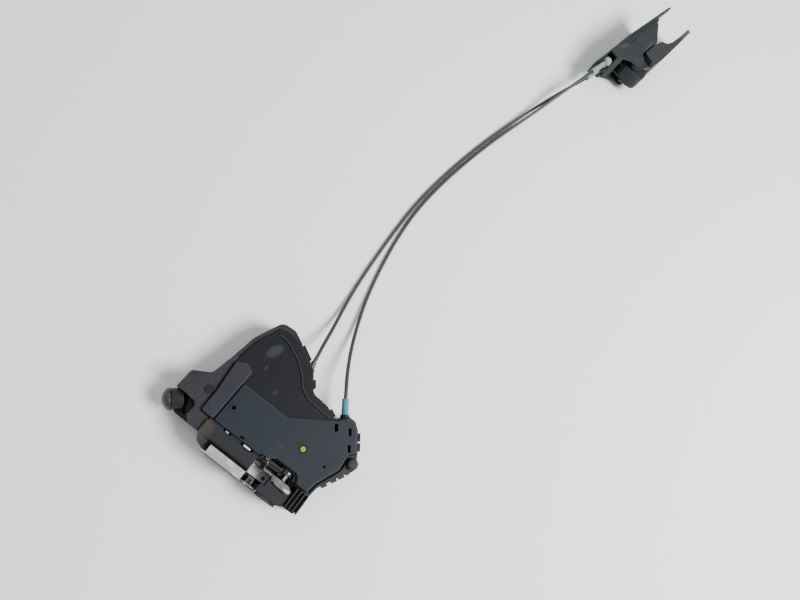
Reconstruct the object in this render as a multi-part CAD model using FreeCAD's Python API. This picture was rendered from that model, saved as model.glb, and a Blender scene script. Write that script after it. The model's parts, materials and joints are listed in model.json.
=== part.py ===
import FreeCAD, Part
import math
import os
from FreeCAD import Vector

# Car door lock, in millimetres. It lies on its outboard side with the cabin side up.
# X runs along the latch face, Y into the door, Z up. The origin is on the latch face,
# at the middle of the striker when the door is closed.

# Levels of the lock, from the surface it lies on to the top of the cover
floor_z = -28.0
split_z = 8.0
lobe_z = 16.5
plateau_z = 20.0
ear_z = 15.5
wall = 2.2
skin = 2.2
floor_wall = 2.5
gap = 0.3
running = 0.06

# Actuator case and cover, seen from above: x, y and corner radius, counter-clockwise
housing_back = 27.9
case_front = housing_back + 0.4
case_corners = [
    (41.0, 6.0, 1.5), (53.0, 6.0, 3), (56.5, 14.0, 3), (55.5, 26.0, 3), (57.5, 40.0, 8),
    (71.5, 66.0, 8), (78.5, 76.0, 6), (71.0, 90.0, 4), (56.0, 110.5, 4), (48.5, 116.0, 4), (38.0, 116.0, 4),
    (30.0, 104.5, 4), (16.0, 110.5, 6), (-4.5, 112.0, 8), (-20.0, 131.5, 6), (-46.0, 144.5, 8),
    (-60.0, 151.0, 9), (-76.0, 149.5, 9), (-89.0, 118.0, 25), (-93.0, 86.0, 20), (-97.0, 65.0, 8),
    (-114.8, 54.6, 6), (-115.2, 33.5, 3), (-104.5, 13.2, 5), (-71.0, 12.6, 3),
    (-71.0, case_front, 1), (41.0, case_front, 1)]
cover_front = case_front + 1.2
cover_corners = [
    (51.5, cover_front, 2), (53.0, 41.0, 8), (64.0, 66.0, 3), (63.0, 83.5, 3), (69.5, 89.5, 3),
    (55.0, 109.2, 4), (48.0, 114.4, 4), (38.8, 114.4, 4), (30.6, 102.8, 5), (15.4, 109.2, 6),
    (-5.2, 110.6, 8), (-20.8, 130.2, 6), (-46.4, 143.1, 8), (-60.0, 145.8, 7), (-72.0, 144.3, 7),
    (-83.5, 117.0, 25), (-87.5, 88.0, 15), (-83.5, 54.0, 8), (-82.0, cover_front, 3)]
plateau_corners = [
    (-65.2, cover_front + 1.2, 1.5), (-3.0, cover_front + 1.2, 2), (0.5, 35.0, 2), (4.5, 38.6, 2),
    (31.0, 38.6, 2), (34.8, 35.0, 2), (37.0, cover_front + 1.2, 2), (50.0, cover_front + 1.2, 2),
    (51.6, 41.5, 8), (62.4, 66.5, 3), (61.4, 83.8, 3), (67.0, 89.8, 3), (54.0, 107.6, 3),
    (47.4, 112.6, 3), (39.8, 112.6, 3), (32.0, 103.0, 3), (16.7, 93.4, 3), (-10.8, 75.2, 4),
    (-65.2, 75.2, 2)]
strip_corners = [
    (-81.5, cover_front + 1.2, 2), (-67.2, cover_front + 1.2, 1.5), (-66.8, 89.0, 2), (-76.5, 92.8, 2),
    (-85.8, 87.6, 3), (-82.0, 55.0, 6)]
lip_route = [(-70.5, 136.0), (-62.5, 137.0), (-52.0, 133.6), (-38.9, 127.6), (-26.8, 118.9), (-17.5, 108.6),
             (-6.7, 103.2), (10.1, 101.6), (24.0, 101.0)]
lip_width = 1.5
lip_height = 1.8
window_corners = [(-9.0, 20.0, 0), (31.5, 20.0, 0), (31.5, 33.6, 2), (28.0, 37.2, 3), (4.5, 37.2, 3),
                  (0.5, 33.4, 2), (-9.0, 33.0, 2)]
link_room = (-20.5, 27.0, -8.9, 41.0, 14.1)
corner_post_place = (71.8, 79.4)
corner_post_radius = 6.0
corner_post_top = 15.5
side_rim_route = [(67.2, 74.5), (66.4, 65.8), (55.4, 41.0), (54.4, 32.0)]
photo_turn = 38.0
slot_places = [(35.1, 97.4, 3.5, 7.7), (49.1, 102.4, 2.8, 7.5), (58.6, 88.6, 2.8, 7.5)]
band_width_limit = -46.0
band_z = 12.5

# Striker, mouth and latch housing
mouth_half = 8.5
mouth_floor = -7.5
pocket_floor = -13.0
pocket_right = 14.0
bumper_shelf = -5.0
bumper_eye = (8.8, 15.4)
plate_thick = 2.5
housing_front = plate_thick + 0.2
housing_low = floor_z + 0.5
housing_top = 18.5
housing_right_top = 10.0
bearing_face = 10.9
housing_rear = 21.8
back_front = 22.0
back_thick = 2.5
flange_top = 20.5
flange_depth = 10.8
housing_corners = [
    (-57.0, housing_front, 1), (33.5, housing_front, 1), (40.6, 5.5, 2), (40.6, housing_rear, 1),
    (-47.0, housing_rear, 0), (-47.0, housing_back, 0), (-70.6, housing_back, 1.5), (-70.6, 13.0, 2),
    (-66.0, 6.0, 2)]
screw_places = [(-46.0, 8.5), (-44.0, -17.0), (27.0, -2.0)]
thread_radius = 2.5
collar_radius = 5.0
collar_depth = 8.0

# Fork, pawl and their rivets
fork_x = -17.0
fork_z = -4.0
fork_radius = 21.0
fork_hub = 11.0
fork_thick = 5.0
fork_front = 3.0
fork_slot_half = 5.6
fork_open_turn = 55.0
fork_pin_radius = 4.0
closed_slot_angle = math.degrees(math.atan2(-fork_z, -fork_x))
striker_reach = math.hypot(fork_x, fork_z)
overmould_thick = 2.0
pawl_x = 21.0
pawl_z = -15.0
pawl_pin_radius = 3.5
pawl_lift = 12.0
lift_arm = 9.2
lift_angle = -22.0
lift_pin_radius = 2.0
lever_front = back_front + back_thick + 0.5
lever_thick = 2.0

# Cables and the levers they pull
cable_z = 0.0
conduit_radius = 2.1
wire_radius = 0.75
nipple_radius = 2.5
release_travel = 9.35
lock_travel = 8.0
wire_spare = 0.6
release_seat = (-22.7, 128.0)
release_exit_direction = (-0.17, 0.985)
lock_seat = (38.0, 112.5)
lock_exit_direction = (-0.572, 0.82)
inside_pivot = (-9.0, 48.0)
inside_nipple = (-31.0, 52.0)
inside_link_arm = 14.0
lock_pivot = (36.5, 79.3)
lock_nipple = (52.9, 90.7)
post_radius = 3.4
lever_hub_radius = 5.4
arm_thick = 2.4
arm_low = cable_z - 4.2
link_z = split_z + 0.4
link_thick = 2.6
link_y = 33.0
link_arm_low = link_z + link_thick + 0.4
link_arm_high = link_arm_low + 2.0
inside_post_top = link_arm_high + 0.4

# Drive: motor, worm and worm wheel
wheel_center = (21.3, 60.5)
wheel_radius = 18.5
wheel_teeth = 32
tooth_depth = 2.0
wheel_low = -17.0
wheel_thick = 7.0
worm_radius = 4.6
worm_length = 19.0
drive_z = -13.0
worm_y = wheel_center[1] + wheel_radius + gap + worm_radius
motor_radius = 12.0
motor_half_flat = 10.0
motor_length = 34.0
cap_radius = 3.0

# Left ear: opening, outside lever and domed buffer
ear_notch = [(-125.0, 5.0, 0), (-83.4, 5.0, 0), (-83.4, 13.0, 1), (-89.6, 18.4, 2), (-89.0, 30.0, 3),
             (-92.4, 33.0, 2), (-106.0, 34.2, 4), (-125.0, 33.4, 0)]
notch_floor = -5.5
ear_opening = [(-98.0, 20.0, 2), (-94.0, 16.8, 2), (-89.8, 18.6, 2), (-89.2, 29.8, 3), (-92.6, 32.6, 2),
               (-98.6, 33.0, 2), (-101.6, 29.6, 2)]
ear_screw = (-88.2, 50.4)
boss_radius = 5.6
lever_slot = [(-105.2, 41.0, 4), (-104.4, 36.4, 2), (-96.6, 21.6, 2), (-90.0, 20.4, 2), (-84.2, 25.0, 3),
              (-88.0, 45.0, 5), (-99.0, 46.8, 5)]
outside_pivot = (-99.0, 39.5)
outside_tip = (-92.5, 25.0)
outside_z = 0.0
buffer_start = (-106.8, 27.4)
buffer_direction = (-0.7431, -0.6691)
buffer_z = -5.0
neck_radius = 10.8
neck_length = 7.5
buffer_radius = 11.4
buffer_length = 10.8
stud_radius = 4.0

# Connector shroud at the right front corner
socket_low = (43.5, 9.5, -17.0)
socket_high = (60.0, 27.0, -2.0)
rib_places = [42.3, 46.6, 50.9, 55.0]
rib_width = 1.3
rib_top = 14.0

# Inside door handle: x is the depth off the door trim, y runs from the cable end to the tip
handle_x = 15.5
handle_y = 698.0
handle_place = Vector(handle_x, handle_y, 0)
handle_turn = -13.5
handle_back = 2.6
handle_length = 150.0
handle_low = floor_z
handle_high = 32.0
pin_x = 36.0
pin_y = 48.0
handle_pin_radius = 3.0
upper_z = 8.0
lower_z = -6.5
ferrule_x = 8.0
knob_low = -11.0
knob_high = 11.0
ear_low = -15.4
release_end = (ferrule_x, pin_y - release_travel / 2)
lock_end = (ferrule_x, pin_y - lock_travel / 2)
end_radius = 2.0
knob_arm = (2.6, 5.4)
tie_holes = [(66.0, 27.5), (66.0, -24.5), (handle_length - 5.5, 26.4)]


def flat(a, b):
    return Vector(a, b, 0)


def upright(a, b):
    return Vector(a, 0, b)


def side(a, b):
    return Vector(0, a, b)


NORMAL = {flat: Vector(0, 0, 1), upright: Vector(0, 1, 0), side: Vector(1, 0, 0)}


def outline(corners, place=flat):
    """Closed wire of straight runs, with each corner rounded by its own tangent arc."""
    rounded = []
    count = len(corners)
    for index, corner in enumerate(corners):
        here = Vector(corner[0], corner[1], 0)
        before = Vector(*corners[index - 1][:2], 0)
        after = Vector(*corners[(index + 1) % count][:2], 0)
        radius = corner[2] if len(corner) > 2 else 0
        back = before.sub(here)
        ahead = after.sub(here)
        angle = back.getAngle(ahead)
        if radius <= 0 or angle > math.radians(179):
            rounded.append((here, here, here))
            continue
        reach = min(radius / math.tan(angle / 2), 0.49 * min(back.Length, ahead.Length))
        radius = reach * math.tan(angle / 2)
        back.normalize()
        ahead.normalize()
        middle = back.add(ahead).normalize()
        depth = radius / math.sin(angle / 2) - radius
        rounded.append((here + back * reach, here + middle * depth, here + ahead * reach))
    edges = []
    for index, (start, middle, end) in enumerate(rounded):
        p, q, r = (place(point.x, point.y) for point in (start, middle, end))
        if start.distanceToPoint(end) > 1e-6:
            edges.append(Part.Arc(p, q, r).toShape())
        following = rounded[(index + 1) % count][0]
        target = place(following.x, following.y)
        if r.distanceToPoint(target) > 1e-6:
            edges.append(Part.LineSegment(r, target).toShape())
    return Part.Wire(edges)


def prism(corners, low, high, place=flat):
    solid = Part.Face(outline(corners, place)).extrude(NORMAL[place] * (high - low))
    solid.translate(NORMAL[place] * low)
    return solid


def inset(corners, distance):
    """The same counter-clockwise outline, moved inwards by a distance."""
    result = []
    count = len(corners)
    for index, corner in enumerate(corners):
        here = Vector(corner[0], corner[1], 0)
        first = here.sub(Vector(*corners[index - 1][:2], 0)).normalize()
        second = Vector(*corners[(index + 1) % count][:2], 0).sub(here).normalize()
        turn = first.x * second.y - first.y * second.x
        along = first.x * second.x + first.y * second.y
        shift = distance * (1 - along) / turn if abs(turn) > 1e-3 else 0
        moved = here + Vector(-first.y, first.x, 0) * distance + first * (-shift)
        radius = corner[2] - math.copysign(distance, turn)
        result.append((moved.x, moved.y, max(radius, 0.3)))
    return result


def ribbon(points, width):
    """Corners of a strip of even width along an open route."""
    half = width / 2
    left = []
    right = []
    last = len(points) - 1
    for index, point in enumerate(points):
        here = Vector(point[0], point[1], 0)
        after = Vector(*points[min(index + 1, last)], 0)
        before = Vector(*points[max(index - 1, 0)], 0)
        ahead = after.sub(before).normalize()
        across = Vector(-ahead.y, ahead.x, 0) * half
        left.append((here.x + across.x, here.y + across.y, width))
        right.append((here.x - across.x, here.y - across.y, width))
    return right + left[::-1]


def turned_box(x, y, width, length, angle):
    """Corners of a rectangle about x, y, turned from the X axis."""
    turn = math.radians(angle)
    along = (math.cos(turn), math.sin(turn))
    across = (-along[1], along[0])
    signs = [(-1, -1), (1, -1), (1, 1), (-1, 1)]
    return [(x + a * width / 2 * along[0] + b * length / 2 * across[0],
             y + a * width / 2 * along[1] + b * length / 2 * across[1], 0.6) for a, b in signs]


def block(x0, y0, z0, x1, y1, z1):
    return Part.makeBox(x1 - x0, y1 - y0, z1 - z0, Vector(x0, y0, z0))


def post(x, y, radius, low, high):
    return Part.makeCylinder(radius, high - low, Vector(x, y, low))


def rivet(x, z, radius, front, back):
    return Part.makeCylinder(radius, back - front, Vector(x, front, z), Vector(0, 1, 0))


def rod(start, end, radius):
    run = end.sub(start)
    return Part.makeCylinder(radius, run.Length, start, run)


def join(shapes):
    shapes = list(shapes)
    return shapes[0].multiFuse(shapes[1:]).removeSplitter()


def round_edges(solid, radius, level):
    """Rounds the edges that lie on one level."""
    edges = [edge for edge in solid.Edges
             if abs(edge.BoundBox.ZMin - level) < 1e-4 and abs(edge.BoundBox.ZMax - level) < 1e-4]
    return solid.makeFillet(radius, edges)


def bevel_edges(solid, size, level):
    """Chamfers the edges that lie on one level."""
    edges = [edge for edge in solid.Edges
             if abs(edge.BoundBox.ZMin - level) < 1e-4 and abs(edge.BoundBox.ZMax - level) < 1e-4]
    return solid.makeChamfer(size, edges)


def polar(x, y, radius, angle):
    turn = math.radians(angle)
    return (x + radius * math.cos(turn), y + radius * math.sin(turn))


def coil(radius, wire, turns, start, axis):
    """Close-wound torsion spring of flat-sided wire: turns side by side, each sunk a little into the next."""
    outer = []
    inner = []
    for index in range(turns):
        middle = wire + index * 2 * wire * math.sin(math.radians(60))
        for angle in (-60, -20, 20):
            turn = math.radians(angle)
            outer.append((radius + wire * math.cos(turn), middle + wire * math.sin(turn)))
            inner.append((radius - wire * math.cos(turn), middle + wire * math.sin(turn)))
    top = outer[-2][1] + wire * (math.sin(math.radians(20)) + math.sin(math.radians(60)))
    outer.append((radius + wire / 2, top))
    inner.append((radius - wire / 2, top))
    profile = outer + inner[::-1]
    points = [start + Vector(1, 0, 0) * across + axis * along for across, along in profile]
    return Part.Face(Part.makePolygon(points + [points[0]])).revolve(start, axis, 360)


parts = {}

# Snap clips: tongues of the cover that hook over the case wall, set along its edges
clip_places = [(74.3, 70.0), (66.2, 96.6), (60.3, 104.7), (23.2, 107.0), (-10.4, 119.4), (-33.0, 138.0),
               (-40.4, 141.8)]
lug_places = [(61.0, 46.5), (66.2, 56.1), (70.2, 63.5)]
clip_width = 8.5
clip_thick = 1.6
clip_low = -4.0


def edge_frame(corners, place):
    """The point of an outline nearest to a place, with the angle of its edge."""
    place = Vector(*place, 0)
    best = None
    for index, corner in enumerate(corners):
        start = Vector(*corners[index - 1][:2], 0)
        run = Vector(*corner[:2], 0).sub(start)
        share = min(max(place.sub(start).dot(run) / run.dot(run), 0), 1)
        foot = start + run * share
        if best is None or foot.distanceToPoint(place) < best[0].distanceToPoint(place):
            best = (foot, math.degrees(math.atan2(run.y, run.x)))
    return best


def clip_block(place, inner, outer, width, low, high):
    """A block on the outside of the case wall, between two distances from it."""
    foot, angle = edge_frame(case_corners, place)
    solid = block(-width / 2, -outer, low, width / 2, -inner, high)
    solid.rotate(Vector(0, 0, 0), Vector(0, 0, 1), angle)
    solid.translate(foot)
    return solid


def buffer_point(distance):
    return Vector(buffer_start[0] + buffer_direction[0] * distance,
                  buffer_start[1] + buffer_direction[1] * distance, buffer_z)


def cover_room():
    """Plan of the cover with its clearance, to cut what stands beside it."""
    return inset(cover_corners, -gap)


def case_cavity():
    return inset(cover_corners, wall + 0.4)


wheel_post_top = 10.0
post_levels = [(inside_pivot, arm_low - 0.1, inside_post_top), (lock_pivot, arm_low - 0.1, 6.0),
               (wheel_center, wheel_low - gap, wheel_post_top)]
bottom_screws = [(-62.0, 118.0), (46.0, 46.0), (-32.0, 42.0)]
screw_head_radius = 3.4
screw_shank_radius = 1.6


def connector_pins():
    pins = []
    for index in range(4):
        y = socket_low[1] + 3.2 + index * 3.6
        pins.append(block(41.5, y - 0.5, -10.1, 52.5, y + 0.5, -8.9))
    return pins


def make_rear_case():
    case = prism(case_corners, floor_z, split_z)
    case = case.cut(prism(case_cavity(), floor_z + floor_wall, split_z + 1))
    upper = prism(case_corners, split_z, ear_z)
    reach = block(-140, 0, split_z - 1, -71.0, 93.0, ear_z + 1)
    ear = upper.common(reach).cut(prism(cover_room(), split_z - 1, ear_z + 1))
    ear = max(ear.Solids, key=lambda solid: solid.Volume)
    band = prism(case_corners, split_z, band_z).cut(prism(cover_room(), split_z - 1, band_z + 1))
    band = band.common(block(-140, 92.5, split_z - 1, band_width_limit, 160, band_z + 1))
    band = max(band.Solids, key=lambda solid: solid.Volume)
    corner_post = post(*corner_post_place, corner_post_radius, floor_z, corner_post_top)
    corner_post = round_edges(corner_post, 3.0, corner_post_top)
    side_rim = prism(ribbon(side_rim_route, 1.1), split_z - 1, band_z)
    pieces = [case, ear, band, corner_post, side_rim]
    for x in rib_places:
        pieces.append(block(x - rib_width / 2, 7.5, split_z, x + rib_width / 2, case_front, rib_top))
    for (x, y), shoulder, top in post_levels:
        pieces.append(post(x, y, post_radius + 1.6, floor_z + 1, shoulder))
        pieces.append(post(x, y, post_radius - 0.1, floor_z + 1, top))
    for x, y in bottom_screws:
        pieces.append(post(x, y, 4.2, floor_z + 1, split_z))
    pieces.append(rod(buffer_point(0), buffer_point(neck_length + 7), stud_radius))
    seats = [(release_seat, release_exit_direction, inside_nipple),
             (lock_seat, lock_exit_direction, lock_nipple)]
    for (x, y), (dx, dy), nipple in seats:
        inner_end = Vector(x - dx * 7, y - dy * 7, cable_z)
        outer_end = Vector(x + dx * 4, y + dy * 4, cable_z)
        pieces.append(rod(inner_end, outer_end, 5.0))
    for place in lug_places:
        pieces.append(clip_block(place, -1.0, 2.4, 6.0, -2.0, split_z))
    pieces.append(post(*ear_screw, boss_radius, ear_z - 1, ear_z + 0.7))
    case = join(pieces).cut(prism(ear_notch, notch_floor, ear_z + 1))
    case = join([case, rod(buffer_point(-4), buffer_point(neck_length), neck_radius)])
    cuts = [prism(ear_opening, floor_z - 1, ear_z + 1), prism(lever_slot, outside_z - gap, outside_z + 6.0)]
    cuts.append(prism(cover_room(), split_z, plateau_z))
    cuts.append(prism([(-110.5, 40.5, 3), (-103.5, 47.5, 2), (-94.0, 47.5, 2), (-94.0, 60.0, 2),
                       (-99.0, 61.0, 3), (-110.5, 54.8, 4)], floor_z - 1, ear_z - 2.4))
    cuts.append(block(*socket_low, *socket_high))
    cuts.extend(connector_pins())
    cuts.append(post(*ear_screw, screw_shank_radius, 0, ear_z + 1))
    cuts.append(post(*ear_screw, 4.0, ear_z + 0.1, ear_z + 1))
    for x, y in bottom_screws:
        cuts.append(post(x, y, screw_shank_radius, floor_z - 1, split_z + 1))
        cuts.append(post(x, y, screw_head_radius + 0.4, floor_z - 1, floor_z + 2.6))
    for (x, y), (dx, dy), nipple in seats:
        seat = Vector(x, y, cable_z)
        cuts.append(rod(Vector(*nipple, cable_z), seat, wire_radius + 0.6))
        cuts.append(rod(seat, Vector(x + dx * 40, y + dy * 40, cable_z), 3.5))
    case = case.cut(cuts)
    pivot = post(*outside_pivot, 2.4, outside_z - 2, outside_z + 7)
    return join([case, pivot])


def make_front_cover():
    cover = prism(cover_corners, split_z, lobe_z)
    cover = bevel_edges(cover, 1.2, lobe_z)
    plateau = bevel_edges(prism(plateau_corners, lobe_z - 1, plateau_z), 0.7, plateau_z)
    strip = bevel_edges(prism(strip_corners, lobe_z - 1, plateau_z), 0.7, plateau_z)
    lip = prism(ribbon(lip_route, lip_width), lobe_z - 1, lobe_z + lip_height)
    cover = join([cover, plateau, strip, lip])
    cuts = [prism(inset(cover_corners, wall), split_z - 1, lobe_z - skin)]
    cuts.append(prism(inset(plateau_corners, wall), lobe_z - skin - 1, plateau_z - skin))
    cuts.append(prism(inset(strip_corners, wall), lobe_z - skin - 1, plateau_z - skin))
    cover = cover.cut(cuts)
    pieces = [cover]
    rim = prism(inset(cover_corners, wall + 0.4 + gap), split_z - 3, split_z + 2)
    rim = rim.cut(prism(inset(cover_corners, wall + 1.6 + gap), split_z - 4, split_z + 3))
    ring = prism(inset(cover_corners, wall - 0.1), split_z, split_z + 2)
    ring = ring.cut(prism(inset(cover_corners, wall + 1.6 + gap), split_z - 1, split_z + 3))
    pieces.extend([rim, ring])
    for x, y in bottom_screws:
        pieces.append(post(x, y, 4.2, split_z, lobe_z - 1))
    for place in clip_places:
        pieces.append(clip_block(place, gap, gap + clip_thick, clip_width, clip_low, lobe_z - 4))
        pieces.append(clip_block(place, -3.0, gap + clip_thick, clip_width, split_z, lobe_z - 4))
    x, y = -58.0, 50.8
    pieces.append(post(x, y, 4.0, plateau_z - 1, plateau_z + 0.8))
    cover = join(pieces)
    x0, y0, x1, y1, top = link_room
    cuts = [prism(window_corners, split_z - 5, plateau_z + 1), block(x0, y0, split_z - 5, x1, y1, top)]
    for x, y, width, length in slot_places:
        cuts.append(prism(turned_box(x, y, width, length, photo_turn), split_z, plateau_z + 1))
    cuts.append(post(-58.0, 50.8, 2.0, lobe_z, plateau_z + 2))
    cuts.append(post(49.2, 59.8, 1.3, lobe_z, plateau_z + 2))
    cuts.append(post(*wheel_center, cap_radius + 0.6, lobe_z - 4, plateau_z + 1))
    for x, y in bottom_screws:
        cuts.append(post(x, y, screw_shank_radius, split_z - 1, split_z + 5))
    for place in clip_places:
        cuts.append(clip_block(place, -0.5, 4.0, clip_width - 3.4, clip_low + 1.8, split_z - 3))
    cuts.append(block(-35.3, 32.4, plateau_z - skin - 1, -30.7, 34.4, plateau_z + 1))
    for width, x in ((9.0, -23.1), (4.5, -47.7)):
        left, right = x - width / 2, x + width / 2
        cuts.append(block(left, cover_front - 2, split_z - 4, right, cover_front + 1.6, plateau_z + 1))
    cover = cover.cut(cuts)
    return max(cover.Solids, key=lambda solid: solid.Volume)


def make_clip_hooks():
    """Wedges on the case wall that the cover's tongues snap over."""
    hooks = []
    for place in clip_places:
        hooks.append(clip_block(place, -1.2, 1.5, clip_width - 4.2, clip_low + 2.2, split_z - 3.6))
    return hooks


def make_latch_housing():
    body = prism(housing_corners, housing_low, housing_right_top)
    left = prism([(-57.0, housing_front, 1), (-mouth_half - 0.5, housing_front, 0),
                  (-mouth_half - 0.5, housing_back, 1), (-70.6, housing_back, 1.5), (-70.6, 13.0, 2),
                  (-66.0, 6.0, 2)], housing_right_top - 1, housing_top)
    left = left.cut(block(-47.0, housing_rear, 0, 0, housing_back + 1, 14.6))
    frame_line = ribbon([(-53.6, 6.0), (-53.6, 12.2), (-9.6, 12.2)], 1.4)
    frame_rib = prism(frame_line, housing_top - 1, flange_top + 0.4)
    body = join([body, left, frame_rib])
    cuts = [block(-mouth_half - 0.5, 0, mouth_floor - 1.5, mouth_half + 0.5, bearing_face, 30)]
    cuts.append(block(-mouth_half - 0.5, bearing_face, pocket_floor, pocket_right, housing_rear, 30))
    cuts.append(rivet(fork_x, fork_z, fork_radius + 0.6, 0, bearing_face))
    cuts.append(prism([(-2.0, -25.5, 2), (34.5, -25.5, 3), (34.5, -12.0, 3), (24.0, -7.6, 3), (6.0, -9.0, 0),
                       (-2.0, -9.0, 0)], 0, bearing_face, upright))
    cuts.append(rivet(fork_x, fork_z, fork_pin_radius, 0, 30))
    cuts.append(rivet(pawl_x, pawl_z, pawl_pin_radius, 0, 30))
    for step in range(4):
        x, z = polar(pawl_x, pawl_z, lift_arm, lift_angle + pawl_lift * step / 3)
        cuts.append(rivet(x, z, lift_pin_radius + 0.7, 0, 30))
    cuts.append(rivet(fork_x, fork_z, 7.6, 0, bearing_face + 5.4))
    cuts.append(block(fork_x - 7.2, 0, fork_z, fork_x - 4.8, bearing_face + 2.8, fork_z + 9.0))
    cuts.append(block(fork_x - 8.0, 0, fork_z - 7.2, fork_x, bearing_face + 5.4, fork_z - 4.8))
    for x, z in screw_places:
        cuts.append(rivet(x, z, collar_radius + gap, 0, collar_depth + gap))
        cuts.append(rivet(x, z, thread_radius + 1.0, 0, 19))
    return body.cut(cuts)


def make_base_plate():
    plate = prism([(-57.0, -24.5, 4), (30.0, -24.5, 4), (34.0, -16.0, 3), (34.0, 3.0, 4), (26.0, 7.0, 3),
                   (12.5, 9.0, 3), (mouth_half, 5.0, 3), (mouth_half, mouth_floor, 7.5),
                   (-mouth_half, mouth_floor, 7.5), (-mouth_half, 12.0, 5), (-9.8, flange_top, 0),
                   (-52.0, flange_top, 0), (-57.0, 12.0, 3)], 0, plate_thick, upright)
    flange = block(-52.0, 0, housing_top, -9.8, flange_depth, flange_top)
    pieces = [plate, flange]
    for x, z in screw_places:
        pieces.append(rivet(x, z, collar_radius, plate_thick - 1, collar_depth))
    plate = join(pieces)
    bend = [edge for edge in plate.Edges if abs(edge.BoundBox.ZMin - flange_top) < 1e-4
            and edge.BoundBox.YMax < 1e-3 and edge.Length > 30]
    plate = plate.makeFillet(1.8, bend)
    cuts = [rivet(x, z, thread_radius, -1, collar_depth + 1) for x, z in screw_places]
    cuts.append(rivet(fork_x, fork_z, fork_pin_radius, -1, 10))
    cuts.append(rivet(pawl_x, pawl_z, pawl_pin_radius, -1, 10))
    return plate.cut(cuts)


def make_back_plate():
    back = back_front + back_thick
    plate = prism([(-45.0, -22.0, 4), (33.5, -22.0, 4), (33.5, 13.5, 2), (2.0, 13.5, 1.5), (0.5, -9.0, 2),
                   (-9.5, -9.0, 2), (-12.0, 10.0, 3), (-45.0, 10.0, 4)], back_front, back, upright)
    tab = prism([(13.0, back, 0), (14.5, 20.6, 1), (20.5, 17.8, 2), (36.6, 16.8, 1), (38.0, 21.4, 1),
                 (33.0, back, 1)], 12.4, 14.4)
    cuts = [rivet(fork_x, fork_z, fork_pin_radius, 0, 40), rivet(pawl_x, pawl_z, pawl_pin_radius, 0, 40)]
    for step in range(4):
        x, z = polar(pawl_x, pawl_z, lift_arm, lift_angle + pawl_lift * step / 3)
        cuts.append(rivet(x, z, lift_pin_radius + 0.7, 0, 40))
    return join([plate, tab]).cut(cuts)


def fork_corners(extra):
    """Plan of the fork with its slot open: two legs, a cam rim and two pawl notches."""
    slot = closed_slot_angle + fork_open_turn
    rim = fork_radius + extra
    half = math.degrees(math.asin(fork_slot_half / rim))
    deep = striker_reach - fork_slot_half
    notch = rim - 3.5
    course = [(half + 1, rim, 1.5), (38, rim, 0), (60, rim, 3), (75, fork_hub, 4), (130, fork_hub, 4),
              (175, fork_hub + 3, 4), (-148, fork_hub + 2, 4), (-132, rim, 2), (-115, rim, 0), (-98, rim, 0),
              (-83, rim, 0.4), (-82, notch, 0.6), (-72, notch, 1), (-70, rim, 0.6), (-60, rim, 0),
              (-46, rim, 0.4), (-45, notch, 0.6), (-34, notch, 1), (-32, rim, 0.6), (-half - 1, rim, 1.5)]
    points = []
    for angle, radius, corner in course:
        x, z = polar(fork_x, fork_z, radius, slot + angle)
        points.append((x, z, corner))
    turn = math.radians(slot)
    along = (math.cos(turn), math.sin(turn))
    across = (-along[1], along[0])
    for share in (-1, 1):
        points.append((fork_x + along[0] * deep + across[0] * share * fork_slot_half,
                       fork_z + along[1] * deep + across[1] * share * fork_slot_half, fork_slot_half - 0.4))
    return points


def make_fork(extra, front, back):
    """Rim stretches between notches are true arcs: the corner points are cut from a full disc."""
    blank = prism(fork_corners(3.0), front, back, upright)
    disc = rivet(fork_x, fork_z, fork_radius + extra, front, back)
    return blank.common(disc)


def make_pawl():
    arm = prism([(2.0, -14.4, 0.5), (0.6, -18.4, 1), (13.0, -21.4, 4), (pawl_x + 6, -21.0, 3),
                 (pawl_x + 11.6, -20.6, 2.5), (pawl_x + 11.0, -14.8, 2.5), (pawl_x + 4, -9.0, 4),
                 (14.0, -10.6, 3)], fork_front, fork_front + fork_thick, upright)
    return arm.cut(rivet(pawl_x, pawl_z, pawl_pin_radius + running, 0, 40))


def make_release_lever():
    back = lever_front + lever_thick
    plate = prism([(pawl_x - 5, -21.0, 4), (pawl_x + 12.0, -21.6, 3), (pawl_x + 12.4, -13.6, 3),
                   (pawl_x + 6.4, -8.0, 4), (27.5, 13.0, 1), (23.6, 13.0, 1), (pawl_x - 6.5, -10.5, 4)],
                  lever_front, back, upright)
    tab = block(24.0, back - 0.5, 10.6, 27.0, link_y + 2.0, 13.0)
    plate = join([plate, tab])
    x, z = polar(pawl_x, pawl_z, lift_arm, lift_angle)
    return plate.cut([rivet(pawl_x, pawl_z, pawl_pin_radius + running, 0, 40),
                      rivet(x, z, lift_pin_radius + gap, 0, 40)])


def make_open_link():
    low = link_z
    bar = prism([(-12.5, link_y - 2.6, 2), (22.0, link_y - 2.2, 1), (29.8, link_y - 2.2, 1),
                 (29.8, link_y + 3.6, 1.5), (20.0, link_y + 3.6, 2), (16.0, link_y + 1.0, 2),
                 (-6.0, link_y + 1.0, 2), (-8.0, link_y + 3.2, 2), (-12.5, link_y + 3.2, 2)],
                low, low + link_thick)
    hook = block(20.8, link_y - 2.2, low, 29.8, link_y + 3.6, 13.6)
    pin = post(inside_pivot[0], inside_pivot[1] - inside_link_arm, 1.8, low + 1, link_arm_high + 0.4)
    notch = block(23.4, link_y - 4, low + 1.2, 27.7, link_y + 2.4, 20)
    return join([bar, hook, pin]).cut(notch)


def lever_arm(pivot, tip, root, end, low, high):
    """A flat arm that tapers from a hub to a round tip."""
    run = Vector(tip[0] - pivot[0], tip[1] - pivot[1], 0)
    across = Vector(-run.y, run.x, 0).normalize()
    p = Vector(*pivot, 0)
    q = Vector(*tip, 0)
    corners = [p + across * root, p - across * root, q - across * end, q + across * end]
    web = prism([(c.x, c.y) for c in corners], low, high)
    return join([web, post(*pivot, root, low, high), post(*tip, end, low, high)])


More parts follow.
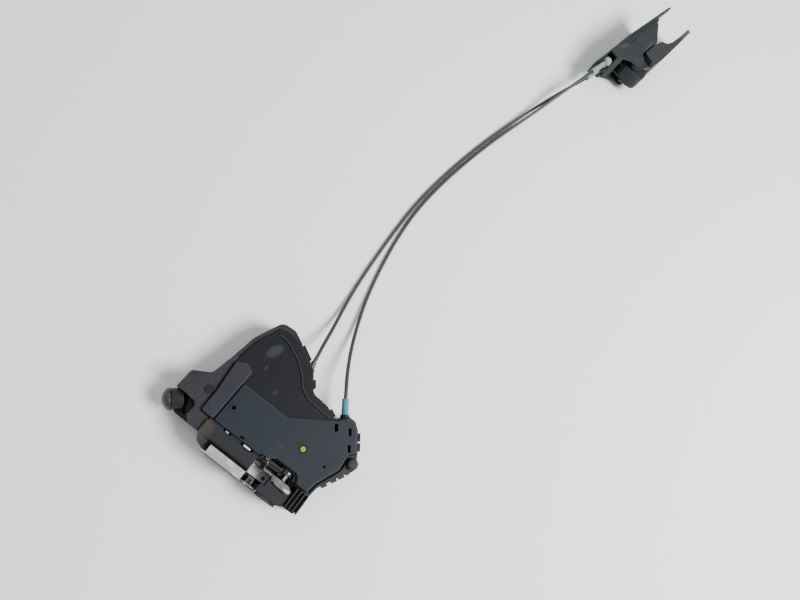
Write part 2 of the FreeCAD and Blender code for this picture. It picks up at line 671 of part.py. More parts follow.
def nipple_slot(pivot, nipple, width, low, high):
    """Open slot along an arm, which holds a nipple and lets it slide as the arm turns."""
    run = Vector(nipple[0] - pivot[0], nipple[1] - pivot[1], 0).normalize()
    start = Vector(nipple[0], nipple[1], 0) - run * 1.0
    end = start + run * 14.0
    across = Vector(-run.y, run.x, 0) * width
    corners = [start + across, start - across, end - across, end + across]
    slot = prism([(c.x, c.y) for c in corners], low, high)
    return slot.fuse(post(start.x, start.y, width, low, high))


def make_cable_lever(pivot, nipple, shoulder, top):
    low = shoulder + 0.1
    high = low + arm_thick
    arm = lever_arm(pivot, nipple, lever_hub_radius, nipple_radius + 2.6, low, high)
    hub = post(*pivot, lever_hub_radius, low, top)
    return join([arm, hub]), low, high


def make_inside_lever():
    lever, low, high = make_cable_lever(inside_pivot, inside_nipple, post_levels[0][1], link_arm_high)
    x, y = inside_pivot[0], inside_pivot[1] - inside_link_arm
    upper = lever_arm(inside_pivot, (x, y), lever_hub_radius, 4.6, link_arm_low, link_arm_high)
    lever = join([lever, upper])
    slot = join([post(x, y + 0.3, 2.2, link_arm_low - 1, link_arm_high + 1),
                 block(x - 2.2, y - 8.0, link_arm_low - 1, x + 2.2, y + 0.3, link_arm_high + 1)])
    return lever.cut([post(*inside_pivot, post_radius, -20, 20), slot,
                      nipple_slot(inside_pivot, inside_nipple, nipple_radius + 0.5, low - 1, high + 1)])


def make_lock_lever():
    lever, low, high = make_cable_lever(lock_pivot, lock_nipple, post_levels[1][1], 5.5)
    cam = lever_arm(lock_pivot, (27.0, 72.0), lever_hub_radius, 3.4, 3.2, 5.5)
    slot = nipple_slot(lock_pivot, lock_nipple, nipple_radius + 0.5, low - 1, high + 1)
    return join([lever, cam]).cut([post(*lock_pivot, post_radius, -20, 20), slot])


def make_wire(seat, nipple, travel):
    """Inner wire inside the lock, from its nipple to short of the sheath by the length it travels."""
    start = Vector(*nipple, cable_z)
    end = Vector(*seat, cable_z)
    end = end + (start - end).normalize() * (travel + wire_spare)
    barrel = post(*nipple, nipple_radius, arm_low, cable_z + nipple_radius - 1.0)
    return join([rod(start, end, wire_radius), barrel])


def make_worm_wheel():
    corners = []
    for tooth in range(wheel_teeth):
        base = 360.0 * tooth / wheel_teeth
        for share, radius in ((-0.34, wheel_radius - tooth_depth), (-0.16, wheel_radius),
                              (0.16, wheel_radius), (0.34, wheel_radius - tooth_depth)):
            corners.append(polar(*wheel_center, radius, base + share * 360.0 / wheel_teeth))
    wheel = prism(corners, wheel_low, wheel_low + wheel_thick)
    hub = post(*wheel_center, 7.0, wheel_low, wheel_low + wheel_thick + 5)
    ring = post(*wheel_center, 17.0, wheel_low + wheel_thick - 2, wheel_low + wheel_thick + 1)
    ring = ring.cut(post(*wheel_center, 9.0, wheel_low + wheel_thick - 2, wheel_low + wheel_thick + 1))
    return wheel.cut(ring).fuse(hub).cut(post(*wheel_center, post_radius, -40, 40)).removeSplitter()


def make_worm():
    middle = wheel_center[0]
    start = Vector(middle - worm_length / 2, worm_y, drive_z)
    ahead = Vector(1, 0, 0)
    profile = [(0, 0), (worm_radius - 1.6, 0)]
    pitch = 2 * math.pi * wheel_radius / wheel_teeth
    turns = int(worm_length / pitch)
    for turn in range(turns):
        x = (turn + 0.2) * pitch
        profile.extend([(worm_radius - 1.6, x), (worm_radius, x + 0.28 * pitch),
                        (worm_radius, x + 0.5 * pitch), (worm_radius - 1.6, x + 0.78 * pitch)])
    profile.extend([(worm_radius - 1.6, worm_length), (0, worm_length)])
    points = [Vector(start.x + along, start.y + radius, start.z) for radius, along in profile]
    clean = [points[0]]
    for point in points[1:]:
        if point.distanceToPoint(clean[-1]) > 1e-6:
            clean.append(point)
    face = Part.Face(Part.makePolygon(clean + [clean[0]]))
    worm = face.revolve(start, ahead, 360)
    shaft = rod(Vector(start.x - 8.0, worm_y, drive_z), start + ahead * 1, 1.5)
    return join([worm, shaft])


def make_motor():
    end = wheel_center[0] - worm_length / 2 - 6.0
    start = end - motor_length
    body = rod(Vector(start, worm_y, drive_z), Vector(end, worm_y, drive_z), motor_radius)
    flats = block(start, worm_y - 20, drive_z - motor_half_flat, end, worm_y + 20, drive_z + motor_half_flat)
    body = body.common(flats)
    boss = rod(Vector(end - 1, worm_y, drive_z), Vector(end + 2, worm_y, drive_z), 4.0)
    tail = rod(Vector(start - 2, worm_y, drive_z), Vector(start + 1, worm_y, drive_z), 4.0)
    body = join([body, boss, tail])
    return body.cut(rod(Vector(end - 6, worm_y, drive_z), Vector(end + 4, worm_y, drive_z), 1.5 + running))


def make_contact_strips():
    low = floor_z + floor_wall
    motor_x = wheel_center[0] - worm_length / 2 - 6.0 - motor_length
    reach = motor_x - gap
    routes = [[(44.0, 33.0), (44.0, 37.0), (-50.0, 37.0), (-50.0, worm_y - 6.6), (reach, worm_y - 6.6)],
              [(40.0, 33.0), (40.0, 34.4), (-53.0, 34.4), (-53.0, worm_y + 6.6), (reach, worm_y + 6.6)]]
    strips = []
    for route in routes:
        strip = prism(ribbon_square(route, 1.4), low, low + 0.8)
        x, y = route[-1]
        blade = block(x - 0.8, y - 2.0, low, x, y + 2.0, drive_z)
        strips.append(join([strip, blade]))
    return strips


def ribbon_square(points, width):
    """Corners of a strip along a route with right-angled turns."""
    half = width / 2
    left = []
    right = []
    last = len(points) - 1
    for index, (x, y) in enumerate(points):
        ahead = Vector(*points[min(index + 1, last)], 0)
        ahead = ahead.sub(Vector(*points[min(index, last - 1)], 0)).normalize()
        behind = Vector(*points[max(index, 1)], 0)
        behind = behind.sub(Vector(*points[max(index - 1, 0)], 0)).normalize()
        shift = Vector(-ahead.y, ahead.x, 0) * half
        if ahead.getAngle(behind) > 0.1:
            shift = shift + Vector(-behind.y, behind.x, 0) * half
        left.append((x + shift.x, y + shift.y))
        right.append((x - shift.x, y - shift.y))
    return right + left[::-1]


def make_buffer():
    """Rubber cap, turned about its axis: a flat skirt and a domed end, with a blind bore for the stud."""
    profile = [(0, 8.0), (stud_radius, 8.0), (stud_radius, 0.3), (buffer_radius - 1.5, 0.3),
               (buffer_radius, 1.8), (buffer_radius, buffer_length - 6.0)]
    points = [Vector(radius, 0, along) for radius, along in profile]
    edges = [Part.LineSegment(a, b).toShape() for a, b in zip(points, points[1:])]
    rise = buffer_length - profile[-1][1]
    dome = (buffer_radius ** 2 + rise ** 2) / (2 * rise)
    half_way = math.radians(90) - 0.5 * math.asin(buffer_radius / dome)
    top = Vector(0, 0, buffer_length)
    shoulder = Vector(dome * math.cos(half_way), 0, buffer_length - dome + dome * math.sin(half_way))
    edges.append(Part.Arc(points[-1], shoulder, top).toShape())
    edges.append(Part.LineSegment(top, points[0]).toShape())
    cap = Part.Face(Part.Wire(edges)).revolve(Vector(0, 0, 0), Vector(0, 0, 1), 360)
    direction = Vector(*buffer_direction, 0)
    cap.Placement = FreeCAD.Placement(buffer_point(neck_length), FreeCAD.Rotation(Vector(0, 0, 1), direction))
    return cap


def screw(x, y, head_low, shank_end, head_radius, upward):
    """Pan-head screw with a six-sided recess: the head lies on its seat and the shank runs up or down."""
    head_height = 2.1
    head = post(x, y, head_radius, head_low, head_low + head_height)
    if upward:
        shank = post(x, y, screw_shank_radius, head_low + head_height - 0.1, shank_end)
        recess_low, recess_high = head_low - 1, head_low + 1.2
    else:
        shank = post(x, y, screw_shank_radius, shank_end, head_low + 0.1)
        recess_low, recess_high = head_low + head_height - 1.2, head_low + head_height + 1
    recess = prism([polar(x, y, 1.5, 60 * index) for index in range(6)], recess_low, recess_high)
    return join([head, shank]).cut(recess)


# Cables: each route is a list of points, run straight between them and rounded at each
release_route = [
    (-23.38, 131.94, 0.0), (-25.76, 145.73, 0.0), (-28.9, 163.0, -6.6), (-32.4, 187.0, -16.8),
    (-37.6, 214.0, -23.8), (-42.4, 246.0, -25.85), (-46.0, 284.0, -25.85), (-48.8, 327.0, -25.85),
    (-50.4, 373.0, -25.85), (-47.0, 421.0, -25.85), (-40.0, 473.0, -25.85), (-30.4, 523.0, -25.6),
    (-18.8, 568.0, -23.2), (-8.2, 603.0, -18.4), (2.2, 633.0, -12.0), (11.4, 658.0, -7.6),
    (18.61, 676.68, -6.5), (21.88, 690.30, -6.5)]
lock_route = [
    (27.70, 127.26, 0.0), (19.12, 139.56, 0.0), (9.4, 156.0, -5.6), (-1.2, 178.0, -14.6),
    (-12.0, 205.0, -22.0),
    (-23.4, 238.0, -25.85), (-33.0, 277.0, -25.85), (-40.8, 322.0, -25.85), (-44.6, 370.0, -25.85),
    (-41.6, 420.0, -25.85), (-34.4, 472.0, -25.85), (-24.6, 522.0, -25.2), (-12.8, 566.0, -20.6),
    (-2.4, 602.0, -11.8), (6.6, 633.0, -1.6), (13.5, 657.0, 5.6), (18.61, 676.68, 8.0), (21.88, 690.30, 8.0)]


def rounded_route(points):
    """Tangent arcs as large as the runs allow, joined by the straight rests of the runs."""
    points = [Vector(*point) for point in points]
    edges = []
    radii = []
    here = points[0]
    for before, corner, after in zip(points, points[1:], points[2:]):
        back = before.sub(corner)
        ahead = after.sub(corner)
        turn = math.pi - back.getAngle(ahead)
        reach = 0.45 * min(back.Length, ahead.Length)
        radius = reach / math.tan(turn / 2)
        radii.append(radius)
        back.normalize()
        ahead.normalize()
        start = corner + back * reach
        end = corner + ahead * reach
        middle = back.add(ahead).normalize()
        sagitta = corner + middle * (radius / math.cos(turn / 2) - radius)
        edges.append(Part.LineSegment(here, start).toShape())
        edges.append(Part.Arc(start, sagitta, end).toShape())
        here = end
    edges.append(Part.LineSegment(here, points[-1]).toShape())
    return Part.Wire(edges), radii


def make_conduit(route, name):
    path, radii = rounded_route(route)
    start = Vector(*route[0])
    ring = Part.Wire(Part.makeCircle(conduit_radius, start, Vector(*route[1]).sub(start)))
    tube = path.makePipeShell([ring], True, False)
    expected = math.pi * conduit_radius ** 2 * path.Length
    print(name, "length", round(path.Length, 1), "smallest radius", round(min(radii), 1),
          "volume share", round(tube.Volume / expected, 4), "valid", tube.isValid())
    return tube


def collar(seat, direction, inner, steps):
    """Stepped sleeve on a cable's end, from its seat outwards; steps are (distance, radius) pairs."""
    dx, dy = direction
    pieces = []
    for (start, radius), (end, _) in zip(steps, steps[1:]):
        pieces.append(rod(Vector(seat[0] + dx * start, seat[1] + dy * start, cable_z),
                          Vector(seat[0] + dx * end, seat[1] + dy * end, cable_z), radius))
    last = steps[-1][0]
    bore = rod(Vector(seat[0] - dx, seat[1] - dy, cable_z),
               Vector(seat[0] + dx * (last + 1), seat[1] + dy * (last + 1), cable_z), inner)
    return join(pieces).cut(bore)


def set_handle(shape):
    shape = shape.copy()
    shape.rotate(Vector(0, 0, 0), Vector(0, 0, 1), handle_turn)
    shape.translate(handle_place)
    return shape


def along_y(x, z, radius, start, end):
    return Part.makeCylinder(radius, end - start, Vector(x, start, z), Vector(0, 1, 0))


cup_top = 24.0
cup_low = -22.0
cup_front = 23.0
cup_end = 125.5
cup_plan = [(0.5, cup_front, 1), (12.5, cup_front, 3), (18.5, 28.0, 4), (28.5, 37.0, 5), (pin_x + 4, 39.5, 6),
            (pin_x + 6.5, 46.0, 5), (pin_x + 5.5, 55.0, 6), (31.0, 61.0, 4), (28.8, 87.0, 6), (29.8, 95.5, 4),
            (10.0, 119.5, 3), (0.5, cup_end, 1)]
pin_cover = 1.0


def make_handle_base():
    plate = prism([(0.0, -12.0, 4), (24.0, -14.0, 10), (46.0, handle_low, 12), (128.0, handle_low, 10),
                   (134.0, 8.0, 6), (139.0, 20.6, 4), (handle_length, 21.4, 2), (handle_length, 31.2, 2),
                   (138.0, handle_high, 4),
                   (52.0, handle_high, 12), (26.0, 15.0, 10), (0.0, 13.0, 4)], 0, handle_back, side)
    top = prism(cup_plan, cup_top - 2.4, cup_top)
    low = prism(cup_plan, cup_low, cup_low + 2.4)
    end_wall = prism([(0.5, cup_end - 2.6, 0), (9.2, 117.2, 1), (27.6, 94.6, 0), (29.8, 95.5, 0),
                      (10.0, 119.5, 3), (0.5, cup_end, 0)], cup_low, cup_top)
    stop = prism([(13.0, cup_front + 1, 1), (15.4, cup_front + 1, 1), (20.6, 30.0, 1), (20.6, 36.0, 0.5),
                  (18.4, 36.0, 0.5), (18.2, 31.0, 1)], cup_low, cup_top)
    fork = block(1.0, 12.0, -16.0, 15.0, 14.6, upper_z + 0.5)
    flange = block(0, cup_end + 1, -6.0, 5.2, cup_end + 6, 20.0)
    ribs = [block(1.0, y, cup_low + 1, 6.0, y + 1.8, cup_top - 1) for y in (70.0, 92.0)]
    body = join([plate, top, low, end_wall, stop, fork, flange] + ribs)
    cuts = [post(pin_x, pin_y, handle_pin_radius, cup_low - 1, cup_top - pin_cover)]
    for level in (upper_z, lower_z):
        cuts.append(along_y(ferrule_x, level, 3.0, 10, 16))
        cuts.append(block(ferrule_x, 10, level - 3.0, 18, 16, level + 3.0))
    mark = [(7.0, 55.0, 1), (9.6, 55.0, 1), (9.6, 70.0, 1), (7.0, 70.0, 1)]
    cuts.append(prism(mark, cup_top - 1.2, cup_top + 1))
    for y, z in tie_holes:
        cuts.append(Part.makeCylinder(2.2, 10, Vector(-2, y, z), Vector(1, 0, 0)))
    return body.cut(cuts)


def end_slot(tip):
    """Pocket at an arm's tip, open away from the pin, that holds the end barrel of a wire."""
    run = Vector(tip[0] - pin_x, tip[1] - pin_y, 0).normalize()
    start = Vector(*tip, 0) - run * 0.4
    end = start + run * 8.0
    across = Vector(-run.y, run.x, 0) * (end_radius + 0.3)
    corners = [start + across, start - across, end - across, end + across]
    pocket = prism([(corner.x, corner.y) for corner in corners], -40, 40)
    return pocket.fuse(post(start.x, start.y, end_radius + 0.3, -40, 40))


def make_handle_lever():
    paddle = prism([(47.5, 64.0, 2), (53.8, 66.0, 3), (53.4, 84.0, 20), (50.6, 112.0, 40), (47.6, 140.0, 40),
                    (44.6, 166.0, 2.4), (39.0, 168.0, 2.4), (41.4, 140.0, 40), (42.0, 118.0, 20),
                    (39.8, 107.0, 8), (32.6, 103.0, 4), (30.7, 88.0, 3), (32.4, 66.0, 3)], -17.0, 25.0)
    side_view = prism([(60.0, -17.5, 6), (110.0, -17.5, 30), (170.0, -10.0, 9), (170.0, 18.0, 9),
                       (110.0, 25.5, 30), (60.0, 25.5, 6)], 20.0, 70.0, side)
    paddle = paddle.common(side_view)
    hollow = prism([(37.5, 68.0, 2), (49.0, 68.0, 3), (49.0, 84.0, 10), (46.5, 100.0, 6), (42.0, 100.0, 3),
                    (37.5, 90.0, 3)], -14.5, 22.5)
    ears = []
    for low, high in ((knob_high + 0.4, knob_high + 5.2), (ear_low, knob_low - 0.4)):
        ears.append(prism([(pin_x - 5.5, pin_y - 5.5, 5), (pin_x + 6.5, pin_y - 5.5, 5),
                           (52.0, 66.0, 3), (50.0, 72.0, 0), (34.0, 72.0, 2)], low, high))
    arm = lever_arm((pin_x, pin_y), release_end, 5.5, 4.2, ear_low, knob_low - 0.4)
    body = join([paddle.cut(hollow)] + ears + [arm])
    return body.cut([post(pin_x, pin_y, handle_pin_radius + running, -40, 40), end_slot(release_end)])


def make_lock_knob():
    """Rocking lobe on the handle's pin, with a square finger pad and the arm that pulls the lock wire."""
    shell = prism([(20.5, 42.5, 8), (30.0, 38.4, 8), (46.0, 37.0, 13), (57.0, 41.5, 12), (57.4, 55.0, 12),
                   (48.0, 61.8, 9), (36.0, 62.0, 6), (28.0, 57.0, 5), (22.0, 52.0, 5)], knob_low, knob_high)
    shell = round_edges(shell, 1.5, knob_high)
    pad = block(30.4, 39.6, knob_high - 0.8, 38.2, 46.0, knob_high + 1)
    arm = lever_arm((24.0, 45.6), lock_end, 4.6, 4.2, *knob_arm)
    return join([shell, arm]).cut([pad, post(pin_x, pin_y, handle_pin_radius + running, -40, 40),
                                   end_slot(lock_end).common(block(-20, 0, -40, 16, 90, 40))])


def make_ferrule(level):
    """Cable-end ferrule: sleeve, snap neck and ball head."""
    sleeve = along_y(ferrule_x, level, 3.6, -12.0, 11.6)
    neck = along_y(ferrule_x, level, 2.9, 11.5, 15.0)
    step = along_y(ferrule_x, level, 4.6, 14.9, 17.2)
    ball = Part.makeSphere(6.2, Vector(ferrule_x, 20.5, level))
    ball = ball.common(block(handle_back + gap, 15.2, level - 6.0, 30, 25.0, level + 6.0))
    bore = along_y(ferrule_x, level, conduit_radius, -13.0, -6.0)
    wire = along_y(ferrule_x, level, wire_radius + 0.4, -8.0, 30.0)
    return join([sleeve, neck, step, ball]).cut([bore, wire])


def make_wire_end(level, tip, low, high):
    """Inner wire between a ferrule and its arm in the handle, with the end barrel upright in the arm."""
    wire = rod(Vector(ferrule_x, 2.0, level), Vector(ferrule_x, tip[1], level), wire_radius)
    return join([wire, post(*tip, end_radius, low, high)])


def make_bumper():
    """Bumper in the striker pocket: a saddle under the striker and a shelf with round ribs beside it."""
    low = pocket_floor + 0.1
    right = pocket_right - 0.3
    corners = [(-mouth_half - 0.2, low, 0.5), (right, low, 0.5), (right, bumper_shelf, 0.5),
               (7.2, bumper_shelf, 0.5), (4.6, -7.7, 3), (0, -8.9, 6), (-4.6, -7.7, 3),
               (-7.2, bumper_shelf, 0.5), (-mouth_half - 0.2, bumper_shelf, 0.5)]
    front = bearing_face + 0.2
    rear = housing_rear - 0.2
    saddle = prism(corners, front, rear, upright)
    ribs = []
    for radius in (2.2, 4.0, 5.8, 7.6):
        ring = post(*bumper_eye, radius, bumper_shelf - 4, bumper_shelf + 0.7)
        ribs.append(ring.cut(post(*bumper_eye, radius - 0.7, bumper_shelf - 5, bumper_shelf + 1)))
    room = block(bumper_eye[0] - 1.6, front, bumper_shelf - 5, right, rear, bumper_shelf + 1)
    return join([saddle, join(ribs).common(room)])


def make_switch():
    """Position switch on the case floor, with its plunger arm."""
    low = floor_z + floor_wall + 1.2
    body = block(-46.0, 50.0, low, -28.0, 59.0, low + 9.0)
    button = block(-38.5, 59.0 - 0.5, low + 4.0, -35.5, 61.0, low + 7.0)
    feet = [block(x, 52.0, floor_z + floor_wall, x + 2.0, 57.0, low + 0.5) for x in (-44.0, -32.0)]
    return join([body, button] + feet)


def make_outside_lever():
    lever = lever_arm(outside_pivot, outside_tip, 4.6, 3.0, outside_z, outside_z + 2.4)
    back_arm = lever_arm(outside_pivot, (outside_pivot[0] + 6.5, outside_pivot[1] + 1.0), 4.6, 2.0,
                         outside_z, outside_z + 2.4)
    return join([lever, back_arm]).cut(post(*outside_pivot, 2.4 + running, -20, 20))


def make_fork_spring():
    start = Vector(fork_x, bearing_face + 0.4, fork_z)
    ring = coil(6.0, 0.8, 3, start, Vector(0, 1, 0))
    x = fork_x - 5.9
    front = rod(Vector(x, start.y + 0.85, fork_z - 1), Vector(x, start.y + 0.85, fork_z + 8.0), 0.75)
    z = fork_z - 5.9
    back = rod(Vector(fork_x + 1, start.y + 3.5, z), Vector(fork_x - 7.0, start.y + 3.5, z), 0.7)
    return join([ring, front, back])


def make_pawl_spring():
    start = Vector(pawl_x, fork_front + fork_thick + 0.3, pawl_z)
    ring = coil(4.8, 0.6, 2, start, Vector(0, 1, 0))
    x = pawl_x - 4.7
    leg = rod(Vector(x, start.y + 1.65, pawl_z - 1), Vector(x, start.y + 1.65, pawl_z + 4.4), 0.5)
    z = pawl_z - 4.7
    tail = rod(Vector(pawl_x + 1, start.y + 0.65, z), Vector(pawl_x - 9.0, start.y + 0.65, z), 0.5)
    return join([ring, leg, tail])


def make_screws():
    screws = [screw(x, y, floor_z + 0.5, split_z + 4.6, screw_head_radius, True) for x, y in bottom_screws]
    screws.append(screw(*ear_screw, ear_z + 0.1, 2.0, 3.7, False))
    return Part.makeCompound(screws)


def make_wheel_cap():
    low = wheel_post_top
    cap = post(*wheel_center, cap_radius, low, plateau_z + 0.6)
    return bevel_edges(cap, 0.8, plateau_z + 0.6)


def build():
    parts["rear_case"] = make_rear_case()
    parts["rear_case"] = join([parts["rear_case"]] + make_clip_hooks())
    parts["front_cover"] = make_front_cover()
    parts["latch_housing"] = make_latch_housing()
    parts["base_plate"] = make_base_plate()
    parts["back_plate"] = make_back_plate()
    back = back_front + back_thick
    fork_back = fork_front + fork_thick
    parts["fork"] = make_fork(0, fork_front, fork_back).cut(
        rivet(fork_x, fork_z, fork_pin_radius + running, 0, 40))
    parts["fork_overmould"] = make_fork(-0.8, fork_back, fork_back + overmould_thick).cut(
        rivet(fork_x, fork_z, fork_pin_radius + 0.5, 0, 40))
    parts["pawl"] = make_pawl()
    x, z = polar(pawl_x, pawl_z, lift_arm, lift_angle)
    parts["pawl_lift_pin"] = rivet(x, z, lift_pin_radius, fork_back, lever_front + lever_thick + 0.3)
    parts["fork_rivet"] = join([rivet(fork_x, fork_z, fork_pin_radius, 0, back),
                                rivet(fork_x, fork_z, fork_pin_radius + 2, back, back + 1.4)])
    parts["pawl_rivet"] = join([rivet(pawl_x, pawl_z, pawl_pin_radius, 0, lever_front + lever_thick + 0.2),
                                rivet(pawl_x, pawl_z, pawl_pin_radius + 1.6, lever_front + lever_thick + 0.1,
                                      lever_front + lever_thick + 0.9)])
    parts["release_lever"] = make_release_lever()
    parts["open_link"] = make_open_link()
    parts["inside_lever"] = make_inside_lever()
    parts["lock_lever"] = make_lock_lever()
    parts["release_wire"] = make_wire(release_seat, inside_nipple, release_travel)
    parts["lock_wire"] = make_wire(lock_seat, lock_nipple, lock_travel)
    parts["motor"] = make_motor()
    parts["worm"] = make_worm()
    parts["worm_wheel"] = make_worm_wheel()
    parts["contact_strips"] = Part.makeCompound(make_contact_strips())
    parts["connector_pins"] = Part.makeCompound(connector_pins())
    parts["domed_buffer"] = make_buffer()
    parts["striker_bumper"] = make_bumper()
    parts["position_switch"] = make_switch()
    parts["outside_lever"] = make_outside_lever()
    parts["outside_spring"] = coil(3.2, 0.5, 3, Vector(*outside_pivot, outside_z + 2.6), Vector(0, 0, 1))
    parts["fork_spring"] = make_fork_spring()
    parts["pawl_spring"] = make_pawl_spring()
    parts["case_screws"] = make_screws()
    parts["wheel_cap"] = make_wheel_cap()
    parts["release_collar"] = collar(release_seat, release_exit_direction, conduit_radius,
                                     [(0.3, 3.3), (9.0, 2.9), (12.0, 2.9)])
    parts["lock_sleeve"] = collar(lock_seat, lock_exit_direction, conduit_radius,
                                  [(0.3, 3.3), (4.5, 3.9), (6.5, 3.7), (21.0, 3.7)])
    parts["handle_base"] = set_handle(make_handle_base())
    parts["handle_lever"] = set_handle(make_handle_lever())
    parts["lock_knob"] = set_handle(make_lock_knob())
    parts["upper_ferrule"] = set_handle(make_ferrule(upper_z))
    parts["lower_ferrule"] = set_handle(make_ferrule(lower_z))
    pin_solid = post(pin_x, pin_y, handle_pin_radius, cup_low - 0.8, cup_top - pin_cover - 0.1)
    parts["handle_pin"] = set_handle(pin_solid)
    spring_start = Vector(pin_x, pin_y, cup_low + 2.5)
    parts["lever_spring"] = set_handle(coil(5.0, 0.5, 2, spring_start, Vector(0, 0, 1)))
    parts["release_wire_end"] = set_handle(make_wire_end(lower_z, release_end, ear_low - 0.6, lower_z + 1.6))
    parts["lock_wire_end"] = set_handle(make_wire_end(upper_z, lock_end, knob_arm[0] - 0.4, upper_z + 1.6))
    parts["release_conduit"] = make_conduit(release_route, "release_conduit")
    parts["lock_conduit"] = make_conduit(lock_route, "lock_conduit")


build()
os.makedirs("parts", exist_ok=True)
for name, shape in parts.items():
    if not shape.isValid():
        print("not valid:", name)
    shape.exportStep("parts/" + name + ".step")
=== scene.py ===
import json
import math

import bmesh
import bpy
from mathutils import Matrix, Vector


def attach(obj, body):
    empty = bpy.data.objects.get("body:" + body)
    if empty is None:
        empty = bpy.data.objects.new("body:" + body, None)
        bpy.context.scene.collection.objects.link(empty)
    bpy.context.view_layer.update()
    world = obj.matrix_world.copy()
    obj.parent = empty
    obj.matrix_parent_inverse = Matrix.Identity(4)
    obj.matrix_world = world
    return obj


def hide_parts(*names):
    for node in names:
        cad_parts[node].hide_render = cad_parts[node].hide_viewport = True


# Power door lock for a car, lying cabin side up, with two cables to its inside handle.
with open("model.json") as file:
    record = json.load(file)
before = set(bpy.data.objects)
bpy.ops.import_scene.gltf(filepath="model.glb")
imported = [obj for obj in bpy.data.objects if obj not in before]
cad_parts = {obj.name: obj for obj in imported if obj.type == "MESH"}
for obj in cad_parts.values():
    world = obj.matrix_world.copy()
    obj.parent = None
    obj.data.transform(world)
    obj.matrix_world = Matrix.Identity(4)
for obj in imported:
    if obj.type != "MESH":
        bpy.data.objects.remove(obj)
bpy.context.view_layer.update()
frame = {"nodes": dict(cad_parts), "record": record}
nodes = frame["nodes"]

MM = 0.001
FLOOR = -28.0 * MM

# Camera, at the photograph's viewing angle
EYE = Vector((-20.849, 15.936, 662.0)) * MM
EYE_RIGHT = Vector((0.77798, 0.57963, 0.24242))
EYE_UP = Vector((-0.62708, 0.74027, 0.24242))
EYE_BACK = Vector((-0.03894, -0.34062, 0.93939))
FOCAL_LENGTH = 27.9
SENSOR_WIDTH = 36.0
NEAR_CLIP = 0.01


def make_camera():
    """Stands the camera where the photograph was taken from."""
    data = bpy.data.cameras.new("camera")
    data.sensor_fit = "HORIZONTAL"
    data.sensor_width = SENSOR_WIDTH
    data.lens = FOCAL_LENGTH
    data.clip_start = NEAR_CLIP
    camera = bpy.data.objects.new("camera", data)
    bpy.context.scene.collection.objects.link(camera)
    turn = Matrix((EYE_RIGHT, EYE_UP, EYE_BACK)).transposed()
    camera.matrix_world = Matrix.Translation(EYE) @ turn.to_4x4()
    bpy.context.scene.camera = camera


make_camera()

# The two sheathed cables: the routes are the ones that the solids follow
SHEATH_RADIUS = 2.1 * MM
# The bevel is one metre deep and each point's radius scales it, so that the curve's own box stays true
WHOLE_BEVEL = 1.0
RELEASE_ROUTE = [
    (-23.38, 131.94, 0.0), (-25.76, 145.73, 0.0), (-28.9, 163.0, -6.6), (-32.4, 187.0, -16.8),
    (-37.6, 214.0, -23.8), (-42.4, 246.0, -25.85), (-46.0, 284.0, -25.85), (-48.8, 327.0, -25.85),
    (-50.4, 373.0, -25.85), (-47.0, 421.0, -25.85), (-40.0, 473.0, -25.85), (-30.4, 523.0, -25.6),
    (-18.8, 568.0, -23.2), (-8.2, 603.0, -18.4), (2.2, 633.0, -12.0), (11.4, 658.0, -7.6),
    (18.61, 676.68, -6.5), (21.88, 690.30, -6.5)]
LOCK_ROUTE = [
    (27.70, 127.26, 0.0), (19.12, 139.56, 0.0), (9.4, 156.0, -5.6), (-1.2, 178.0, -14.6),
    (-12.0, 205.0, -22.0), (-23.4, 238.0, -25.85), (-33.0, 277.0, -25.85), (-40.8, 322.0, -25.85),
    (-44.6, 370.0, -25.85), (-41.6, 420.0, -25.85), (-34.4, 472.0, -25.85), (-24.6, 522.0, -25.2),
    (-12.8, 566.0, -20.6), (-2.4, 602.0, -11.8), (6.6, 633.0, -1.6), (13.5, 657.0, 5.6),
    (18.61, 676.68, 8.0), (21.88, 690.30, 8.0)]


def make_cable(name, route, node):
    """Sheathed cable along a route in millimetres, in place of its solid; length is in metres."""
    data = bpy.data.curves.new(name, "CURVE")
    data.dimensions = "3D"
    data.bevel_depth = WHOLE_BEVEL
    data.bevel_resolution = 5
    data.resolution_u = 10
    data.use_fill_caps = True
    line = data.splines.new("NURBS")
    line.points.add(len(route) - 1)
    for point, place in zip(line.points, route):
        point.co = (*(value * MM for value in place), 1.0)
        point.radius = SHEATH_RADIUS
    line.order_u = 3
    line.use_endpoint_u = True
    cable = bpy.data.objects.new(name, data)
    bpy.context.scene.collection.objects.link(cable)
    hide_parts(node)
    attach(cable, "lock_body")
    return cable


release_cable = make_cable("release_cable", RELEASE_ROUTE, "release_conduit")
lock_cable = make_cable("lock_cable", LOCK_ROUTE, "lock_conduit")


# Shared surface effects, as node groups
def new_group(name, inputs, outputs):
    """Empty node group with number inputs and their defaults; gives the group, its start and its end."""
    group = bpy.data.node_groups.new(name, "ShaderNodeTree")
    for label, value in inputs:
        socket = group.interface.new_socket(label, in_out="INPUT", socket_type="NodeSocketFloat")
        socket.default_value = value
    for label, kind in outputs:
        group.interface.new_socket(label, in_out="OUTPUT", socket_type=kind)
    return group, group.nodes.new("NodeGroupInput"), group.nodes.new("NodeGroupOutput")


def add(tree, kind, values=None, **settings):
    """Adds a node; values go to its inputs, settings to the node itself."""
    node = tree.nodes.new(kind)
    for key, value in settings.items():
        setattr(node, key, value)
    for key, value in (values or {}).items():
        node.inputs[key].default_value = value
    return node


def maths(tree, operation, a, b=None, clamp=False):
    """One maths node on sockets or numbers."""
    node = add(tree, "ShaderNodeMath", operation=operation, use_clamp=clamp)
    for index, value in enumerate((a, b)):
        if value is None:
            continue
        if isinstance(value, (int, float)):
            node.inputs[index].default_value = value
        else:
            tree.links.new(value, node.inputs[index])
    return node.outputs[0]


def own_place(tree):
    """The object's own coordinates, in metres."""
    return add(tree, "ShaderNodeTexCoord").outputs["Object"]


